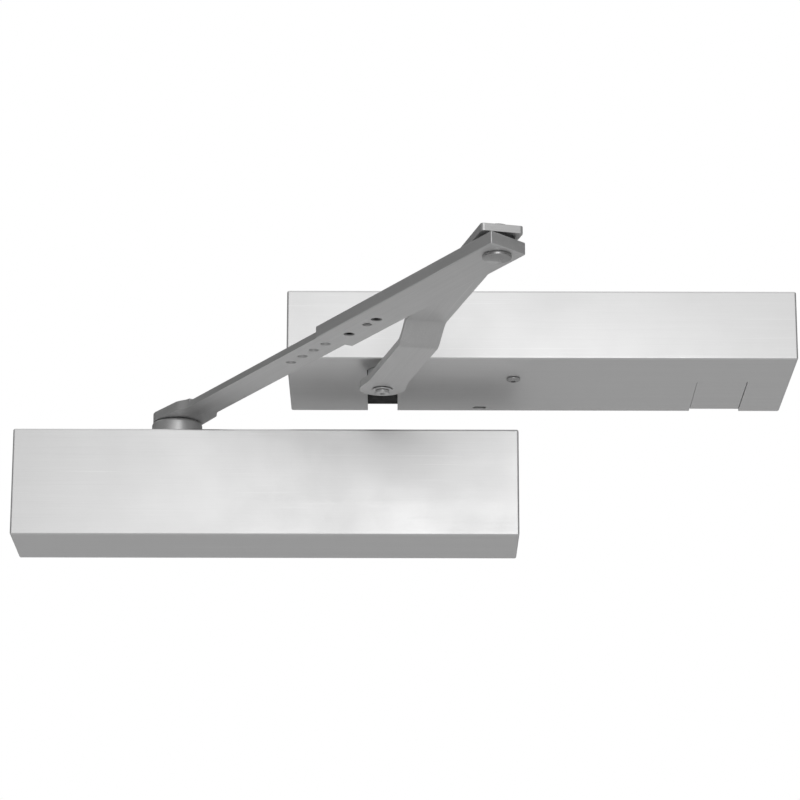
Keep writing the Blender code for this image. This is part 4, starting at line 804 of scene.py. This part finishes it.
def forearm_sleeve():
    low, high = local_box("forearm_sleeve", FOREARM_PLACE)
    half = high.y
    bar_bottom = low.z + SLEEVE_WALL + GAP
    lean = SLEEVE_SKEW * half
    far_lean = SLEEVE_FAR_SKEW * half
    near = -SLEEVE_TIP
    far = high.x - far_lean
    outline = [
        (near + lean, -half), (far + far_lean, -half), (far - far_lean, half),
        (near - lean, half)]
    shape = bmesh.new()
    add_prism(shape, outline, low.z, high.z)
    sleeve = new_object("forearm_outer", shape, FOREARM_PLACE)
    soften(sleeve, SLEEVE_EDGE, 4, 30)
    pocket = bmesh.new()
    bar_half = BAR_WIDTH / 2 + GAP
    add_box(
        pocket,
        (SLEEVE_POCKET, -bar_half, bar_bottom - GAP),
        (high.x + PAST, bar_half, bar_bottom + BAR_THICK + GAP))
    cut(sleeve, pocket)
    holes = bmesh.new()
    add_hole(holes, ELBOW_BORE, low.z, high.z, (0, 0))
    for number in SLEEVE_SCREW_HOLES:
        add_hole(holes, BAR_HOLE + GAP, low.z, high.z, (hole_place(number), 0))
    add_rod(
        holes, BAR_HOLE, low.z - PAST, bar_bottom,
        (hole_place(SLEEVE_OPEN_HOLE), 0))
    cut(sleeve, holes)
    settle(sleeve, "arm_steel", "forearm_body", ["forearm_sleeve"])


def forearm_bar():
    low, high = local_box("forearm_bar", FOREARM_PLACE)
    bottom = low.z
    top = bottom + BAR_THICK
    half = BAR_WIDTH / 2
    neck = FOREARM_LENGTH - HUB_NECK
    shoulder = FOREARM_LENGTH - HUB_SHOULDER
    shape = bmesh.new()
    add_box(shape, (low.x, -half, bottom), (neck + GAP, half, top))
    bar = new_object("forearm_inner", shape, FOREARM_PLACE)
    wider = HUB_SHOULDER_WIDTH / 2 - half
    outline = [(neck, half), (neck, -half)]
    widening = [i / 12 for i in range(1, 13)]
    for part in widening:
        outline.append((neck + (shoulder - neck) * part, -half - wider * ease(part)))
    outline += arc((FOREARM_LENGTH, 0), HUB_RADIUS, -pi / 2, pi / 2, 40)
    for part in reversed(widening):
        outline.append((neck + (shoulder - neck) * part, half + wider * ease(part)))
    hub = bmesh.new()
    add_prism(hub, outline, low.z, high.z)
    join(bar, hub)
    square = SPINDLE_SQUARE / 2 + GAP
    holes = bmesh.new()
    add_box(
        holes, (FOREARM_LENGTH - square, -square, low.z - PAST),
        (FOREARM_LENGTH + square, square, high.z + PAST))
    cut(bar, holes)
    soften(bar, ARM_EDGE, 3, 40)
    holes = bmesh.new()
    places = [(number, BAR_HOLE) for number in range(1, BAR_HOLES + 1)]
    places += [(number, BAR_HOLE + GAP) for number in SLEEVE_SCREW_HOLES]
    for number, radius in places:
        add_hole(holes, radius, bottom, top, (hole_place(number), 0))
    cut(bar, holes)
    settle(bar, "arm_steel", "forearm_body", ["forearm_bar"])


def set_screws():
    """Two headless screws with hexagon sockets, seen from below in the sleeve."""
    for number in (1, 2):
        node = "forearm_set_screw_" + str(number)
        low, high = local_box(node, FOREARM_PLACE)
        centre = ((low.x + high.x) / 2, 0)
        inner = BAR_HOLE - SET_EDGE
        outline = [(0, low.z), (inner, low.z), (BAR_HOLE, low.z + SET_EDGE)]
        outline += [(BAR_HOLE, high.z - SET_EDGE), (inner, high.z), (0, high.z)]
        shape = bmesh.new()
        add_turned(shape, outline, centre, HOLE_SIDES)
        screw = new_object("lock_screw_" + str(number), shape, FOREARM_PLACE)
        socket = bmesh.new()
        outline = polygon(SET_SOCKET[0], 6, centre)
        add_prism(socket, outline, low.z - PAST, low.z + SET_SOCKET[1])
        cut(screw, socket)
        settle(screw, "dark_steel", "forearm_body", [node])


def hub_screw():
    """The low cap screw on top of the hub."""
    low, high = local_box("forearm_hub_screw", FOREARM_PLACE)
    radius = (high.y - low.y) / 2
    centre = ((low.x + high.x) / 2, 0)
    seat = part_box("forearm_bar")[1].z + GAP
    outline = [(0, low.z), (THREAD, low.z), (THREAD, seat), (radius, seat)]
    rim = (radius - SCREW_EDGE, high.z - SCREW_EDGE)
    outline += arc(rim, SCREW_EDGE, 0, pi / 2, 6)
    outline.append((0, high.z))
    shape = bmesh.new()
    add_turned(shape, outline, centre, 72)
    screw = new_object("hub_screw", shape, FOREARM_PLACE)
    socket = bmesh.new()
    outline = polygon(HUB_SOCKET[0], 6, centre)
    add_prism(socket, outline, high.z - HUB_SOCKET[1], high.z + PAST)
    cut(screw, socket)
    settle(screw, "machined_steel", "forearm_body", ["forearm_hub_screw"])


# ---------------------------------------------------------------- studio
FLOOR = -0.95
FLOOR_TONE = (0.80, 0.80, 0.80)
BACK_TONE = 0.12
FRONT_TONE = 0.66
SIDE_TONE = 0.14
CEILING_TONE = 0.80
KEY_PLACE = (0.0, -1.4, -0.02)
KEY_TARGET = (-0.05, 0.0, -0.03)
KEY_SIZE = (0.4, 0.5)
KEY_POWER = 3.1                # watts


def area_light(name, place, target, size, power):
    data = bpy.data.lights.new(name, "AREA")
    data.shape = "RECTANGLE"
    data.size = size[0]
    data.size_y = size[1]
    data.energy = power
    light = bpy.data.objects.new(name, data)
    light.location = place
    aim = Vector(target) - Vector(place)
    light.rotation_euler = aim.to_track_quat("-Z", "Y").to_euler()
    bpy.context.scene.collection.objects.link(light)


def add_floor():
    """A pale floor well below the object. From underneath it lets the view through."""
    shape = bmesh.new()
    reach = 7.0
    corners = [(-reach, -reach), (reach, -reach), (reach, reach), (-reach, reach)]
    shape.faces.new([shape.verts.new((x, y, FLOOR)) for x, y in corners])
    floor = new_object("floor", shape)
    material = bpy.data.materials.new("floor")
    material.use_nodes = True
    tree = material.node_tree
    shader = tree.nodes["Principled BSDF"]
    shader.inputs["Roughness"].default_value = 0.9
    shader.inputs["Base Color"].default_value = (*FLOOR_TONE, 1.0)
    clear = tree.nodes.new("ShaderNodeBsdfTransparent")
    side = tree.nodes.new("ShaderNodeNewGeometry")
    mix = tree.nodes.new("ShaderNodeMixShader")
    tree.links.new(side.outputs["Backfacing"], mix.inputs[0])
    tree.links.new(shader.outputs[0], mix.inputs[1])
    tree.links.new(clear.outputs[0], mix.inputs[2])
    tree.links.new(mix.outputs[0], tree.nodes["Material Output"].inputs["Surface"])
    floor.data.materials.append(material)


def add_world():
    """A pale room, darker at its sides and behind. The camera itself sees plain white."""
    world = bpy.data.worlds.new("studio")
    world.use_nodes = True
    bpy.context.scene.world = world
    tree = world.node_tree
    nodes = tree.nodes
    background = nodes["Background"]
    place = nodes.new("ShaderNodeTexCoord")
    split = nodes.new("ShaderNodeSeparateXYZ")
    tree.links.new(place.outputs["Generated"], split.inputs[0])

    def value(operation, a, b=None):
        node = nodes.new("ShaderNodeMath")
        node.operation = operation
        tree.links.new(a, node.inputs[0])
        if b is not None:
            node.inputs[1].default_value = b
        return node.outputs[0]

    def step(source, low, high):
        node = nodes.new("ShaderNodeMapRange")
        node.interpolation_type = "SMOOTHSTEP"
        node.inputs["From Min"].default_value = low
        node.inputs["From Max"].default_value = high
        tree.links.new(source, node.inputs["Value"])
        return node.outputs["Result"]

    def toward(amount, before, tone):
        node = nodes.new("ShaderNodeMix")
        node.data_type = "FLOAT"
        tree.links.new(amount, node.inputs[0])
        if isinstance(before, float):
            node.inputs[2].default_value = before
        else:
            tree.links.new(before, node.inputs[2])
        node.inputs[3].default_value = tone
        return node.outputs[0]

    front = step(value("MULTIPLY", split.outputs[1], -1.0), -0.1, 0.5)
    tone = toward(front, BACK_TONE, FRONT_TONE)
    tone = toward(step(value("ABSOLUTE", split.outputs[0]), 0.25, 0.70), tone, SIDE_TONE)
    tone = toward(step(split.outputs[2], 0.55, 0.95), tone, CEILING_TONE)
    seen = nodes.new("ShaderNodeLightPath")
    direct = nodes.new("ShaderNodeMix")
    direct.data_type = "FLOAT"
    tree.links.new(seen.outputs["Is Camera Ray"], direct.inputs[0])
    tree.links.new(tone, direct.inputs[2])
    direct.inputs[3].default_value = 1.0
    background.inputs["Color"].default_value = (1, 1, 1, 1)
    tree.links.new(direct.outputs[0], background.inputs["Strength"])


bpy.context.scene.view_settings.view_transform = "Standard"
add_camera()
paint_nodes()
frame_cover()
slot_plug()
cover_screw()
closer_cover()
closer_collar()
main_arm()
main_arm_screw()
ring("arm_washer", "main_arm_washer", THREAD_BORE, 0.0002, "arm_steel", "main_arm_body", MAIN_PLACE)
forearm_sleeve()
forearm_bar()
set_screws()
hub_screw()
elbow_pin()
ring("pivot_washer", "elbow_washer", ELBOW_BORE, 0.0003, "dark_steel", "forearm_body",
     FOREARM_PLACE)
ring("pivot_ring", "elbow_retaining_ring", ELBOW_BORE, 0.0002, "dark_steel", "forearm_body",
     FOREARM_PLACE)
add_floor()
add_world()
area_light("key", KEY_PLACE, KEY_TARGET, KEY_SIZE, KEY_POWER)
